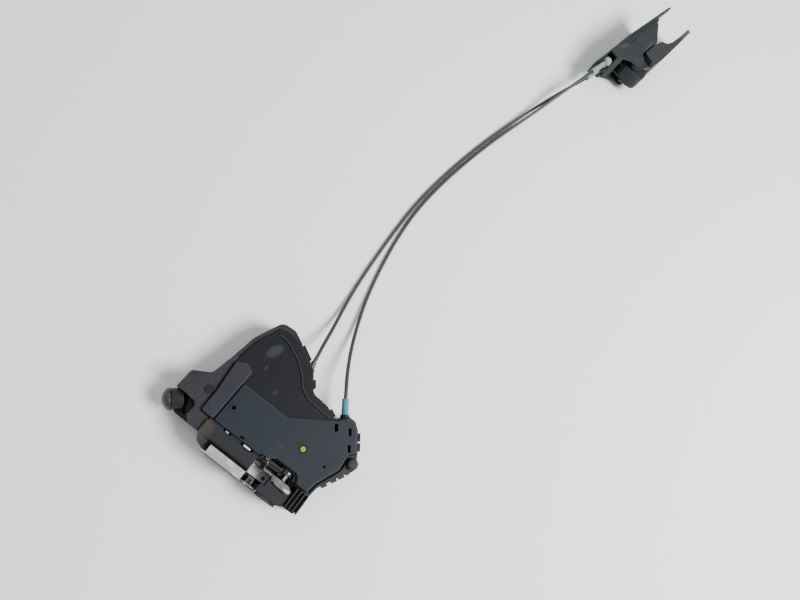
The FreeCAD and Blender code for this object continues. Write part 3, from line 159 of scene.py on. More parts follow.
def noise(tree, scale, detail=3.0, roughness=0.55, stretch=None):
    """Noise in the object's own coordinates; scale is a socket or a number."""
    where = own_place(tree)
    if stretch:
        mapping = add(tree, "ShaderNodeMapping", {"Scale": stretch})
        tree.links.new(where, mapping.inputs["Vector"])
        where = mapping.outputs["Vector"]
    node = add(tree, "ShaderNodeTexNoise", {"Detail": detail, "Roughness": roughness})
    tree.links.new(where, node.inputs["Vector"])
    if isinstance(scale, (int, float)):
        node.inputs["Scale"].default_value = scale
    else:
        tree.links.new(scale, node.inputs["Scale"])
    return node.outputs["Fac"]


def step(tree, value, low, high):
    """Soft step from 0 at low to 1 at high, or falling where low is the larger."""
    node = add(tree, "ShaderNodeMapRange", {"From Min": low, "From Max": high},
               interpolation_type="SMOOTHSTEP")
    tree.links.new(value, node.inputs["Value"])
    return node.outputs["Result"]


def upward(tree):
    """How far a face looks up: 1 on level tops, 0 on upright walls."""
    facing = add(tree, "ShaderNodeSeparateXYZ")
    tree.links.new(add(tree, "ShaderNodeNewGeometry").outputs["Normal"], facing.inputs[0])
    return facing.outputs["Z"]


def worn_edge_group():
    """Rounds edges to the eye and marks where they are rubbed bright."""
    tree, start, end = new_group("worn edge", [("Radius", 0.0006), ("Breakup", 900.0)],
                                 [("Mask", "NodeSocketFloat"), ("Normal", "NodeSocketVector")])
    bevel = add(tree, "ShaderNodeBevel", samples=4)
    tree.links.new(start.outputs["Radius"], bevel.inputs["Radius"])
    flat = add(tree, "ShaderNodeNewGeometry")
    dot = add(tree, "ShaderNodeVectorMath", operation="DOT_PRODUCT")
    tree.links.new(bevel.outputs["Normal"], dot.inputs[0])
    tree.links.new(flat.outputs["True Normal"], dot.inputs[1])
    turned = maths(tree, "SUBTRACT", 1.0, dot.outputs["Value"])
    sharp = step(tree, turned, 0.015, 0.16)
    patchy = step(tree, noise(tree, start.outputs["Breakup"], 4.0, 0.7), 0.42, 0.66)
    tree.links.new(maths(tree, "MULTIPLY", sharp, patchy, clamp=True), end.inputs["Mask"])
    tree.links.new(bevel.outputs["Normal"], end.inputs["Normal"])
    return tree


def moulded_grain_group():
    """Fine spark-eroded grain with a slow change of shade."""
    tree, start, end = new_group("moulded grain", [("Scale", 1600.0), ("Patch scale", 45.0)],
                                 [("Height", "NodeSocketFloat"), ("Shade", "NodeSocketFloat")])
    tree.links.new(noise(tree, start.outputs["Scale"], 5.0, 0.62), end.inputs["Height"])
    patches = step(tree, noise(tree, start.outputs["Patch scale"], 4.0, 0.6), 0.3, 0.72)
    tree.links.new(patches, end.inputs["Shade"])
    return tree


def dust_group():
    """Pale dust that settles on what faces up, in soft patches."""
    tree, start, end = new_group("settled dust", [("Scale", 160.0), ("Amount", 0.3)],
                                 [("Mask", "NodeSocketFloat")])
    up = step(tree, upward(tree), 0.2, 0.95)
    fine = step(tree, noise(tree, start.outputs["Scale"], 8.0, 0.75), 0.46, 0.78)
    mask = maths(tree, "MULTIPLY", maths(tree, "MULTIPLY", up, fine), start.outputs["Amount"], clamp=True)
    tree.links.new(mask, end.inputs["Mask"])
    return tree


def grease_group():
    """Uneven film of old grease: where it lies the surface is browner and glossier."""
    tree, start, end = new_group("old grease", [("Scale", 70.0), ("Cover", 0.5)],
                                 [("Mask", "NodeSocketFloat"), ("Height", "NodeSocketFloat")])
    cloud = noise(tree, start.outputs["Scale"], 6.0, 0.65)
    limit = maths(tree, "SUBTRACT", 1.0, start.outputs["Cover"])
    above = maths(tree, "SUBTRACT", cloud, maths(tree, "MULTIPLY", limit, 0.8))
    spread = maths(tree, "MULTIPLY", above, 6.0, clamp=True)
    tree.links.new(spread, end.inputs["Mask"])
    tree.links.new(cloud, end.inputs["Height"])
    return tree


def rolled_steel_group():
    """Fine lines along the sheet and cloudy plating."""
    tree, start, end = new_group("rolled steel", [("Scale", 240.0), ("Cloud scale", 90.0)],
                                 [("Lines", "NodeSocketFloat"), ("Cloud", "NodeSocketFloat")])
    lines = noise(tree, start.outputs["Scale"], 6.0, 0.7, stretch=(0.12, 4.0, 4.0))
    tree.links.new(lines, end.inputs["Lines"])
    cloud = step(tree, noise(tree, start.outputs["Cloud scale"], 5.0, 0.65), 0.34, 0.7)
    tree.links.new(cloud, end.inputs["Cloud"])
    return tree


WORN_EDGE = worn_edge_group()
MOULDED_GRAIN = moulded_grain_group()
SETTLED_DUST = dust_group()
OLD_GREASE = grease_group()
ROLLED_STEEL = rolled_steel_group()


def place(tree, group, **values):
    """Puts a shared effect into a material; patch_scale sets the input named Patch scale."""
    node = add(tree, "ShaderNodeGroup", node_tree=group)
    for key, value in values.items():
        node.inputs[key.replace("_", " ").capitalize()].default_value = value
    return node


def blend_colour(tree, share, base, over):
    """Mixes two colours, each a socket or a tuple, by a share that is a socket."""
    node = add(tree, "ShaderNodeMix", data_type="RGBA")
    tree.links.new(share, node.inputs["Factor"])
    for socket, value in (("A", base), ("B", over)):
        target = [item for item in node.inputs if item.name == socket and item.type == "RGBA"][0]
        if isinstance(value, tuple):
            target.default_value = (*value, 1.0)
        else:
            tree.links.new(value, target)
    return [item for item in node.outputs if item.type == "RGBA"][0]


def ramp(tree, value, low, high):
    """Stretches a value of 0 to 1 over low to high."""
    node = add(tree, "ShaderNodeMapRange", {"To Min": low, "To Max": high})
    tree.links.new(value, node.inputs["Value"])
    return node.outputs["Result"]


def new_material(name):
    """New material; gives it, its node tree and its Principled shader."""
    material = bpy.data.materials.new(name)
    material.use_nodes = True
    shader = material.node_tree.nodes["Principled BSDF"]
    return material, material.node_tree, shader


def relief(tree, shader, height, distance, edge):
    """Bump over the rounded edges; distance is in metres."""
    bump = add(tree, "ShaderNodeBump", {"Strength": 1.0, "Distance": distance})
    tree.links.new(height, bump.inputs["Height"])
    tree.links.new(edge.outputs["Normal"], bump.inputs["Normal"])
    tree.links.new(bump.outputs["Normal"], shader.inputs["Normal"])


def scaled(colour, factor):
    """A lighter or darker colour, never over 1."""
    return tuple(min(1.0, value * factor) for value in colour)


def object_axis(tree, axis):
    """One of the object's own coordinates, in metres."""
    split = add(tree, "ShaderNodeSeparateXYZ")
    tree.links.new(own_place(tree), split.inputs[0])
    return split.outputs[axis]


def oval(tree, centre, size, turn=0.0, blur=0.35, ragged=0.5):
    """Mask of a ragged oval patch; centre and half sizes are in millimetres, turn in degrees."""
    settings = {"Location": [value * MM for value in centre],
                "Rotation": (0.0, 0.0, math.radians(turn)),
                "Scale": [value * MM for value in size]}
    moved = add(tree, "ShaderNodeMapping", settings, vector_type="TEXTURE")
    tree.links.new(own_place(tree), moved.inputs["Vector"])
    reach = add(tree, "ShaderNodeVectorMath", operation="LENGTH")
    tree.links.new(moved.outputs["Vector"], reach.inputs[0])
    wobble = maths(tree, "MULTIPLY", maths(tree, "SUBTRACT", noise(tree, 700.0, 3.0), 0.5), ragged)
    return step(tree, maths(tree, "ADD", reach.outputs["Value"], wobble), 1.0 + blur, 1.0 - blur)


def patch_over(tree, base, gloss, mask, share, colour, change=0.0):
    """Lays a patch of another colour and gloss over a surface."""
    weight = maths(tree, "MULTIPLY", mask, share, clamp=True)
    base = blend_colour(tree, weight, base, colour)
    if change:
        gloss = maths(tree, "ADD", gloss, maths(tree, "MULTIPLY", weight, change), clamp=True)
    return base, gloss


# Values that several finishes share; lengths are in metres
PLASTIC_EDGE = 0.0005
RUBBER_EDGE = 0.0009
STEEL_EDGE = 0.0004
FINE_GRAIN = 0.000012
GRIP_GRAIN = 0.00003
GREASE_DEPTH = 0.00012
ROLLING_DEPTH = 0.00001
PLASTIC_SPECULAR = 0.19
GREASED_ROUGHNESS = 0.5
RUBBER_SPECULAR = 0.4
RUBBER_ROUGHNESS = 0.4
COAT_ROUGHNESS = 0.15
DUST_TONE = (0.38, 0.37, 0.35)
BLOOM_TONE = (0.30, 0.29, 0.28)
PAINTED_SHADE_TONE = (0.003, 0.003, 0.003)
STAIN_TONE = (0.30, 0.25, 0.19)
GLINT_HIGHLIGHT_TONE = (0.86, 0.86, 0.84)
SHADED_STEEL = (0.055, 0.054, 0.050)
FRONT_FROM = 1.5 * MM
FRONT_TO = 0.7 * MM


def mottled(tree, skin, colour, darker=0.93, lighter=1.08):
    """A colour that drifts a little darker and lighter over the surface."""
    return blend_colour(tree, skin.outputs["Shade"], scaled(colour, darker), scaled(colour, lighter))


def moulded(name, colour, roughness=0.5, grain=1600.0, depth=FINE_GRAIN, wear=0.3, dust=0.06,
            specular=PLASTIC_SPECULAR, coat=0.0, paint=None):
    """Injection-moulded plastic: grain, cloudy shade, paler rubbed edges and a little dust."""
    material, tree, shader = new_material(name)
    edge = place(tree, WORN_EDGE, radius=PLASTIC_EDGE)
    skin = place(tree, MOULDED_GRAIN, scale=grain)
    film = place(tree, SETTLED_DUST, amount=dust, scale=420.0)
    base = mottled(tree, skin, colour)
    gloss = ramp(tree, skin.outputs["Shade"], roughness * 0.92, min(1.0, roughness * 1.08))
    if paint:
        base, gloss = paint(tree, base, gloss)
    rubbed = tuple(value * 1.3 + 0.035 for value in colour)
    base, gloss = patch_over(tree, base, gloss, edge.outputs["Mask"], wear, rubbed, -0.05)
    base, gloss = patch_over(tree, base, gloss, film.outputs["Mask"], 1.0, DUST_TONE, 0.3)
    tree.links.new(base, shader.inputs["Base Color"])
    tree.links.new(gloss, shader.inputs["Roughness"])
    shader.inputs["Specular IOR Level"].default_value = specular
    shader.inputs["Coat Weight"].default_value = coat
    shader.inputs["Coat Roughness"].default_value = COAT_ROUGHNESS
    relief(tree, shader, skin.outputs["Height"], depth, edge)
    return material


def greased(name, colour, grease, cover, scale=70.0, where=None, shadows=(), paint=None):
    """Moulded plastic with a film of old grease, either all over or inside one oval, and painted shade inside
    the shadow ovals.
    """
    material, tree, shader = new_material(name)
    edge = place(tree, WORN_EDGE, radius=PLASTIC_EDGE)
    skin = place(tree, MOULDED_GRAIN)
    film = place(tree, OLD_GREASE, scale=scale, cover=cover)
    smear = film.outputs["Mask"]
    if where:
        smear = maths(tree, "MULTIPLY", smear, oval(tree, *where))
    base = mottled(tree, skin, colour)
    base = blend_colour(tree, smear, base, grease)
    rubbed = tuple(value * 1.3 + 0.03 for value in colour)
    base = blend_colour(tree, maths(tree, "MULTIPLY", edge.outputs["Mask"], 0.3), base, rubbed)
    if paint:
        base = paint(tree, base)
    # Painted shade: near-black ovals where shade falls in grooves and slots
    for centre, size in shadows:
        painted_shade = maths(tree, "MULTIPLY", oval(tree, centre, size, 0.0, 0.3, 0.1), 0.9)
        base = blend_colour(tree, painted_shade, base, PAINTED_SHADE_TONE)
    tree.links.new(base, shader.inputs["Base Color"])
    gloss = ramp(tree, smear, GREASED_ROUGHNESS, GREASED_ROUGHNESS * 0.75)
    tree.links.new(gloss, shader.inputs["Roughness"])
    shader.inputs["Specular IOR Level"].default_value = PLASTIC_SPECULAR
    height = maths(tree, "ADD", maths(tree, "MULTIPLY", film.outputs["Height"], smear),
                   maths(tree, "MULTIPLY", skin.outputs["Height"], 0.08))
    relief(tree, shader, height, GREASE_DEPTH, edge)
    return material


def steel(name, colour, roughness, stained=0.2, specks=0.0, painted_glints=(), shaded_front=False):
    """Plated or bare steel: rolling lines, cloudy plating, specks, stains, rubbed brighter edges, painted
    shade on the front face and painted highlights at the glint places.
    """
    material, tree, shader = new_material(name)
    shader.inputs["Metallic"].default_value = 1.0
    edge = place(tree, WORN_EDGE, radius=STEEL_EDGE, breakup=500.0)
    sheet = place(tree, ROLLED_STEEL)
    film = place(tree, OLD_GREASE, scale=150.0, cover=0.42)
    base = blend_colour(tree, sheet.outputs["Cloud"], scaled(colour, 0.62), scaled(colour, 1.08))
    gloss = ramp(tree, sheet.outputs["Lines"], roughness * 0.75, min(1.0, roughness * 1.35))
    base, gloss = patch_over(tree, base, gloss, film.outputs["Mask"], stained, STAIN_TONE)
    if specks:
        pits = step(tree, noise(tree, 430.0, 6.0, 0.75), 0.51, 0.57)
        base, gloss = patch_over(tree, base, gloss, pits, specks, scaled(colour, 0.36), 0.15)
    # Painted shade: the plate's front face is darkened where it lies in shade
    if shaded_front:
        front = step(tree, object_axis(tree, "Y"), FRONT_FROM, FRONT_TO)
        base, gloss = patch_over(tree, base, gloss, front, 0.9, SHADED_STEEL, 0.2)
    # Painted highlights: bright glossy patches where glints fall
    for centre, size in painted_glints:
        rubbed = oval(tree, centre, size, 0.0, 0.2, 0.3)
        base, gloss = patch_over(tree, base, gloss, rubbed, 0.95, GLINT_HIGHLIGHT_TONE, -0.08)
    base, gloss = patch_over(tree, base, gloss, edge.outputs["Mask"], 0.8, scaled(colour, 1.35))
    tree.links.new(base, shader.inputs["Base Color"])
    tree.links.new(gloss, shader.inputs["Roughness"])
    relief(tree, shader, sheet.outputs["Lines"], ROLLING_DEPTH, edge)
    return material


def rubber(name, colour):
    """Soft rubber with a dull bloom and scuffs."""
    material, tree, shader = new_material(name)
    edge = place(tree, WORN_EDGE, radius=RUBBER_EDGE)
    skin = place(tree, MOULDED_GRAIN, scale=900.0, patch_scale=120.0)
    film = place(tree, SETTLED_DUST, amount=0.12, scale=300.0)
    base = mottled(tree, skin, colour, 0.88, 1.15)
    base = blend_colour(tree, film.outputs["Mask"], base, BLOOM_TONE)
    tree.links.new(base, shader.inputs["Base Color"])
    gloss = ramp(tree, skin.outputs["Shade"], RUBBER_ROUGHNESS * 0.9, RUBBER_ROUGHNESS * 1.08)
    tree.links.new(gloss, shader.inputs["Roughness"])
    shader.inputs["Specular IOR Level"].default_value = RUBBER_SPECULAR
    relief(tree, shader, skin.outputs["Height"], GRIP_GRAIN, edge)
    return material


# Tones of the cover: a darker low lobe, a bluish raised plateau, a greyer raised strip at its left and the
# lip ridge; painted light lightens the short walls between the levels;
# a mark is centre, half sizes, turn, share, tone, gloss
LOBE_TONE = (0.0048, 0.0056, 0.0074)
PLATEAU_TONE = (0.0120, 0.0162, 0.0215)
STRIP_TONE = (0.0205, 0.0205, 0.0262)
RIDGE_TONE = (0.022, 0.024, 0.027)
WALL_PAINTED_LIGHT_TONE = (0.050, 0.053, 0.062)
WALL_FROM = 16.2 * MM
RAISED_FROM = 16.6 * MM
RAISED_TO = 17.3 * MM
RIDGE_SLOPE = 0.6
RIDGE_LINE = 86.5 * MM
RIDGE_ABOVE = 95.0 * MM
STRIP_FROM = -64.5 * MM
STRIP_TO = -67.5 * MM
COVER_MARKS = [
    ((-63.0, 120.5, 16.5), (5.0, 9.5, 30.0), -22.0, 0.85, (0.026, 0.028, 0.038), -0.12),
    ((-58.9, 100.9, 16.5), (1.0, 2.4, 30.0), 20.0, 0.7, (0.034, 0.035, 0.040), -0.05),
    ((-35.8, 87.4, 16.5), (2.6, 2.6, 30.0), 0.0, 0.6, (0.024, 0.025, 0.029), 0.1),
    ((44.9, 48.5, 20.0), (2.6, 1.2, 30.0), 30.0, 0.6, (0.009, 0.011, 0.014), 0.0),
    ((2.0, 50.0, 20.0), (3.2, 1.8, 30.0), 38.0, 0.5, (0.026, 0.029, 0.032), 0.05),
    ((7.5, 50.5, 20.0), (2.4, 1.6, 30.0), 20.0, 0.5, (0.009, 0.010, 0.013), 0.0),
    ((21.3, 60.5, 20.0), (4.6, 4.6, 30.0), 0.0, 0.9, (0.003, 0.003, 0.004), 0.1)]


def paint_cover(tree, base, gloss):
    """Gives the plateau, strip and lip ridge their tones, paints light on the walls, and lays the cover's
    marks.
    """
    raised = step(tree, object_axis(tree, "Z"), RAISED_FROM, RAISED_TO)
    along = object_axis(tree, "Y")
    across = maths(tree, "MULTIPLY", object_axis(tree, "X"), RIDGE_SLOPE)
    slanted = maths(tree, "SUBTRACT", along, across)
    ridge = maths(tree, "MULTIPLY", step(tree, slanted, RIDGE_LINE - MM, RIDGE_LINE),
                  step(tree, along, RIDGE_ABOVE - MM, RIDGE_ABOVE))
    base, gloss = patch_over(tree, base, gloss, maths(tree, "MULTIPLY", raised, ridge), 0.8, RIDGE_TONE)
    raised = maths(tree, "MULTIPLY", raised, maths(tree, "SUBTRACT", 1.0, ridge))
    left = maths(tree, "MULTIPLY", raised, step(tree, object_axis(tree, "X"), STRIP_FROM, STRIP_TO))
    cloud = noise(tree, 30.0, 3.0, 0.5)
    plateau = blend_colour(tree, cloud, scaled(PLATEAU_TONE, 0.86), scaled(PLATEAU_TONE, 1.14))
    base = blend_colour(tree, raised, base, plateau)
    base, gloss = patch_over(tree, base, gloss, left, 0.9, STRIP_TONE)
    # Painted light: the short upright walls between the levels are lighter so that their shade softens
    painted_light_walls = maths(tree, "MULTIPLY", step(tree, upward(tree), 0.95, 0.6),
                  step(tree, object_axis(tree, "Z"), WALL_FROM, RAISED_FROM))
    base, gloss = patch_over(tree, base, gloss, painted_light_walls, 0.85, WALL_PAINTED_LIGHT_TONE)
    for centre, size, turn, share, colour, change in COVER_MARKS:
        base, gloss = patch_over(tree, base, gloss, oval(tree, centre, size, turn), share, colour, change)
    return base, gloss


PADDLE_TIP = (95.3, 850.6, 4.0)
PADDLE_TIP_SIZE = (26.0, 26.0, 60.0)
PADDLE_TIP_TONE = (0.063, 0.065, 0.060)


def paint_paddle(tree, base, gloss):
    """The paddle's finger end is rubbed pale."""
    worn = oval(tree, PADDLE_TIP, PADDLE_TIP_SIZE, 0.0, 0.5, 0.2)
    return patch_over(tree, base, gloss, worn, 0.85, PADDLE_TIP_TONE, 0.05)


CUP_MARKS = [((33.0, 740.0, 24.0), (8.0, 2.4, 5.0), 66.0), ((61.5, 771.0, 24.0), (10.0, 2.2, 5.0), 84.0)]
CUP_MARK_TONE = (0.048, 0.052, 0.054)


def paint_cup(tree, base, gloss):
    """Two pale rubbed marks on the upper side of the handle's cup."""
    for centre, size, turn in CUP_MARKS:
        mark = oval(tree, centre, size, turn)
        base, gloss = patch_over(tree, base, gloss, mark, 0.6, CUP_MARK_TONE, -0.1)
    return base, gloss


NECK = (-108.5, 23.0, -5.0)
NECK_SIZE = (11.0, 12.5, 16.0)
NECK_TONE = (0.009, 0.010, 0.011)


def paint_case(tree, base, gloss):
    """The neck behind the buffer is darker than the case."""
    return patch_over(tree, base, gloss, oval(tree, NECK, NECK_SIZE), 0.8, NECK_TONE)


BUMPER_EYE = (8.8, 15.4, -5.0)
BUMPER_EYE_SIZE = (1.7, 1.7, 6.0)
RINGS_SIZE = (8.6, 8.6, 6.0)
RING_PITCH = 1.8
HOLLOW_SHADE_TONE = (0.085, 0.081, 0.072)
EYE_SHADE_TONE = (0.004, 0.004, 0.004)


def paint_bumper(tree, base):
    """Painted shade in the hollows between the round ribs, and near-black painted shade in the open eye at
    their middle.
    """
    flat = add(tree, "ShaderNodeVectorMath", operation="MULTIPLY")
    tree.links.new(own_place(tree), flat.inputs[0])
    flat.inputs[1].default_value = (1.0, 1.0, 0.0)
    reach = add(tree, "ShaderNodeVectorMath", operation="DISTANCE")
    tree.links.new(flat.outputs["Vector"], reach.inputs[0])
    reach.inputs[1].default_value = (BUMPER_EYE[0] * MM, BUMPER_EYE[1] * MM, 0.0)
    phase = maths(tree, "MULTIPLY", reach.outputs["Value"], 2 * math.pi / (RING_PITCH * MM))
    waves = maths(tree, "SINE", phase)
    near = oval(tree, BUMPER_EYE, RINGS_SIZE, 0.0, 0.1, 0.0)
    # Painted shade: dark rings in the hollows between the ribs
    shaded_hollow = maths(tree, "MULTIPLY", step(tree, waves, -0.1, 0.6), near)
    base = blend_colour(tree, maths(tree, "MULTIPLY", shaded_hollow, 0.75), base, HOLLOW_SHADE_TONE)
    # Painted shade: the open eye at the middle is near black
    return blend_colour(tree, oval(tree, BUMPER_EYE, BUMPER_EYE_SIZE, 0.0, 0.3, 0.1), base, EYE_SHADE_TONE)


# Places on the finishes as centre and half sizes, in millimetres
BROWN_END = ((-67.0, 15.0, 18.5), (8.5, 14.0, 60.0))
# Painted shade along the groove round the flange and in the slots beside the two catches
RIB_SHADOWS = [((-31.6, 12.6, 20.0), (30.0, 2.3, 12.0)), ((-54.4, 8.2, 20.0), (2.2, 7.0, 12.0)),
               ((-22.9, 28.4, 17.0), (7.4, 2.6, 8.0)), ((-47.8, 28.4, 17.0), (4.0, 1.6, 8.0))]
# Painted highlights: glints on the release lever's tab and on the back plate's tab end
LEVER_GLINTS = [((26.2, 34.4, 12.0), (1.1, 0.8, 6.0)), ((25.0, 28.6, 12.6), (0.3, 2.2, 4.0))]
PLATE_GLINTS = [((34.2, 19.5, 14.0), (4.0, 1.1, 6.0))]
finishes = {
    "case_plastic": moulded("case plastic", (0.0185, 0.0195, 0.0222), 0.5, paint=paint_case),
    "cover_plastic": moulded("cover plastic", LOBE_TONE, 0.5, wear=0.25, dust=0.03, specular=0.165,
                             paint=paint_cover),
    "housing_plastic": greased("latch housing plastic", (0.0140, 0.0146, 0.0178), (0.040, 0.032, 0.027),
                               0.62, where=BROWN_END, shadows=RIB_SHADOWS),
    "plated_steel": steel("zinc plated steel", (0.96, 0.95, 0.93), 0.3, specks=0.8, shaded_front=True),
    "dark_steel": steel("dark hardened steel", (0.105, 0.10, 0.095), 0.46, painted_glints=LEVER_GLINTS),
    "rivet_steel": steel("bright rivet steel", (0.62, 0.61, 0.58), 0.28),
    "spring_steel": steel("oiled spring steel", (0.40, 0.395, 0.38), 0.34),
    "fork_plastic": greased("overmoulded fork plastic", (0.05, 0.045, 0.04), (0.09, 0.07, 0.05), 0.5),
    "rubber": rubber("buffer rubber", (0.017, 0.0165, 0.020)),
    # Painted light: the bumper's own pale grey is made lighter still to make up for the shade of the pocket
    # it lies in
    "bumper_plastic": greased("bumper plastic", (0.62, 0.615, 0.58), (0.46, 0.44, 0.40), 0.46,
                              scale=160.0, paint=paint_bumper),
    "white_plastic": moulded("acetal plastic", (0.66, 0.66, 0.63), 0.4, dust=0.03, wear=0.2),
    "cap_plastic": moulded("yellow green cap plastic", (0.182, 0.250, 0.029), 0.3, dust=0.02, wear=0.2,
                           coat=0.3),
    "teal_plastic": moulded("teal sleeve plastic", (0.045, 0.174, 0.216), 0.45, dust=0.08, wear=0.3),
    "pale_plastic": moulded("pale ferrule plastic", (0.215, 0.256, 0.236), 0.42, wear=0.3),
    "green_plastic": moulded("green ferrule plastic", (0.175, 0.275, 0.222), 0.42, wear=0.3),
    "cable_plastic": moulded("cable sheath plastic", (0.028, 0.028, 0.031), 0.4, grain=2400.0, wear=0.2,
                             specular=0.4),
    "brass": steel("tinned brass", (0.42, 0.34, 0.22), 0.36),
    "motor_steel": steel("motor can steel", (0.5, 0.5, 0.49), 0.3),
    "screw_steel": steel("black zinc screw steel", (0.030, 0.030, 0.033), 0.42, stained=0.05),
    "link_plastic": moulded("link plastic", (0.0125, 0.0125, 0.0145), 0.4, wear=0.25),
    "handle_plastic": moulded("handle base plastic", (0.0210, 0.0242, 0.0265), 0.52, grain=1100.0,
                              depth=GRIP_GRAIN, paint=paint_cup),
    "lever_plastic": moulded("handle lever plastic", (0.0215, 0.0235, 0.0262), 0.42, specular=0.35,
                             paint=paint_paddle),
    "knob_plastic": moulded("lock knob plastic", (0.0150, 0.0192, 0.0218), 0.5, grain=1300.0),
}
own_finishes = {
    "back_plate": steel("back plate steel", (0.17, 0.168, 0.162), 0.38, specks=0.4,
                        painted_glints=PLATE_GLINTS),
}
# Painted shade: a near-black matt finish for the sheets that stand for the shade in the groove round the
# flange
flange_shade_sheet_finish = moulded("flange painted shade sheet", (0.004, 0.004, 0.004), 0.9, specular=0.02, wear=0.0, dust=0.02)


def dress(solid, finish):
    """Gives an object one material in place of what it has."""
    solid.data.materials.clear()
    solid.data.materials.append(finish)


for part in frame["record"]["subparts"]:
    name = part["node"]
    dress(nodes[name], own_finishes.get(name, finishes[part["material_slot"]]))
for cable in (release_cable, lock_cable):
    dress(cable, finishes["cable_plastic"])


# Small pieces that the solids leave to this script: beads, catches, a return spring and screw threads
def new_piece(name, mesh, body, slot):
    """Puts a mesh into the scene as a piece that rides on a body."""
    piece = bpy.data.objects.new(name, mesh)
    bpy.context.scene.collection.objects.link(piece)
    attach(piece, body)
    mesh.materials.append(finishes[slot])
    return piece


def mesh_of(name, rings):
    """Skin over rings of points in millimetres; the first and last rings are closed by caps."""
    mesh = bpy.data.meshes.new(name)
    form = bmesh.new()
    rows = [[form.verts.new(Vector(point) * MM) for point in ring] for ring in rings]
    for one, two in zip(rows, rows[1:]):
        count = len(one)
        for index in range(count):
            after = (index + 1) % count
            form.faces.new((one[index], one[after], two[after], two[index]))
    form.faces.new(rows[0][::-1])
    form.faces.new(rows[-1])
    bmesh.ops.recalc_face_normals(form, faces=form.faces)
    form.to_mesh(mesh)
    form.free()
    mesh.shade_smooth()
    return mesh


SMOOTHING_ROUNDS = 2


def smoothed(points):
    """Cuts the corners of an open route; its two ends stay."""
    for _ in range(SMOOTHING_ROUNDS):
        cut = [points[0]]
        for start, end in zip(points, points[1:]):
            start, end = Vector(start), Vector(end)
            cut.extend([start.lerp(end, 0.25), start.lerp(end, 0.75)])
        points = cut + [points[-1]]
    return [Vector(point) for point in points]


def heading(points, index):
    """Direction of a route at one of its points."""
    return (points[min(index + 1, len(points) - 1)] - points[max(index - 1, 0)]).normalized()


BEAD_FACETS = 7
BEAD_END = 0.35


def bead(name, route, level, width, height, slot, sink=0.25):
    """Rounded bead that stands on a level face and follows a route."""
    points = smoothed([(x, y, level) for x, y in route])
    rings = []
    for index, point in enumerate(points):
        ahead = heading(points, index)
        across = Vector((-ahead.y, ahead.x, 0.0)) * width / 2
        taper = BEAD_END if index in (0, len(points) - 1) else 1.0
        ring = [point - across - Vector((0, 0, sink)), point + across - Vector((0, 0, sink))]
        for share in range(BEAD_FACETS):
            turn = math.pi * share / (BEAD_FACETS - 1)
            rise = Vector((0, 0, height * taper * math.sin(turn)))
            ring.append(point + across * math.cos(turn) * taper + rise)
        rings.append(ring)
    return new_piece(name, mesh_of(name, rings), "lock_body", slot)


def wire(name, points, radius, body, slot, facets=8):
    """Round wire along points that already lie close together."""
    points = [Vector(point) for point in points]
    rings = []
    side = Vector((0.0, 0.0, 1.0))
    for index, point in enumerate(points):
        ahead = heading(points, index)
        side = (side - ahead * side.dot(ahead)).normalized()
        over = ahead.cross(side)
        turns = [2 * math.pi * facet / facets for facet in range(facets)]
        rings.append([point + (side * math.cos(turn) + over * math.sin(turn)) * radius for turn in turns])
    return new_piece(name, mesh_of(name, rings), body, slot)


def slab(name, corners, low, high, body, slot, edge):
    """Flat piece with rounded upper and lower edges, from its outline seen from above."""
    middle = sum((Vector((x, y, 0.0)) for x, y in corners), Vector()) / len(corners)
    levels = ((low, edge), (low + edge, 0.0), (high - edge, 0.0),
              (high - edge * 0.3, edge * 0.35), (high, edge))
    rings = []
    for level, shrink in levels:
        ring = []
        for x, y in corners:
            point = Vector((x, y, 0.0))
            inward = (middle - point).normalized() * shrink
            ring.append(point + inward + Vector((0, 0, level)))
        rings.append(ring)
    mesh = mesh_of(name, rings)
    mesh.shade_flat()
    return new_piece(name, mesh, body, slot)


def helix(axis, radius, pitch, turns, start, per_turn=20):
    """Points of a coil about an upright axis."""
    count = int(turns * per_turn)
    return [(axis[0] + radius * math.cos(start + 2 * math.pi * index / per_turn),
             axis[1] + radius * math.sin(start + 2 * math.pi * index / per_turn),
             axis[2] + pitch * index / per_turn) for index in range(count + 1)]


GUARD_SKIRT = 1.6
GUARD_HEIGHT = 0.7
GUARD_CORNER = 0.6


def capping(name, profile, front, back, body, slot):
    """Guard over the upper edge of an upright plate; the profile is in x and z."""
    rings = []
    for x, z in profile:
        low, middle, top = z - GUARD_SKIRT, z + GUARD_HEIGHT * 0.5, z + GUARD_HEIGHT
        rings.append([(x, front, low), (x, front, middle), (x, front + GUARD_CORNER, top),
                      (x, back - GUARD_CORNER, top), (x, back, middle), (x, back, low)])
    return new_piece(name, mesh_of(name, rings), body, slot)


# Beads: levels of the faces that carry them, and their routes in x and y, in millimetres
EAR_FACE = 15.5
CASE_BAND = 12.5
HOUSING_FACE = 18.5
LOBE_FACE = 16.5
SEAM_FACE = 18.0
SHADE_SHEET_LOW = 20.0
SHADE_SHEET_HIGH = 21.2
EAR_MARK = [(-107.7, 36.8), (-108.6, 40.4), (-108.0, 43.9), (-106.4, 47.2), (-104.0, 48.2)]
EAR_RIM = [(-113.9, 36.0), (-114.3, 44.0), (-113.4, 52.2), (-107.6, 56.4), (-97.9, 62.8), (-95.8, 68.0),
           (-92.6, 86.0)]
CASE_RIM = [(-91.6, 94.0), (-88.9, 112.0), (-83.6, 127.0), (-76.6, 145.0), (-73.0, 148.4), (-60.4, 149.9),
            (-50.0, 145.5)]
LOBE_STEP = [(-69.0, 132.6), (-62.0, 133.4), (-52.6, 130.4), (-40.6, 124.8), (-29.0, 116.4),
             (-19.6, 106.4), (-8.6, 100.6), (9.0, 98.8)]
HOUSING_SEAM = [(-56.0, 12.0), (-55.4, 17.0), (-54.9, 22.4)]
SHADE_SHEET_BACK = [(-55.0, 11.0), (-9.7, 11.0), (-9.7, 13.3), (-55.0, 13.3)]
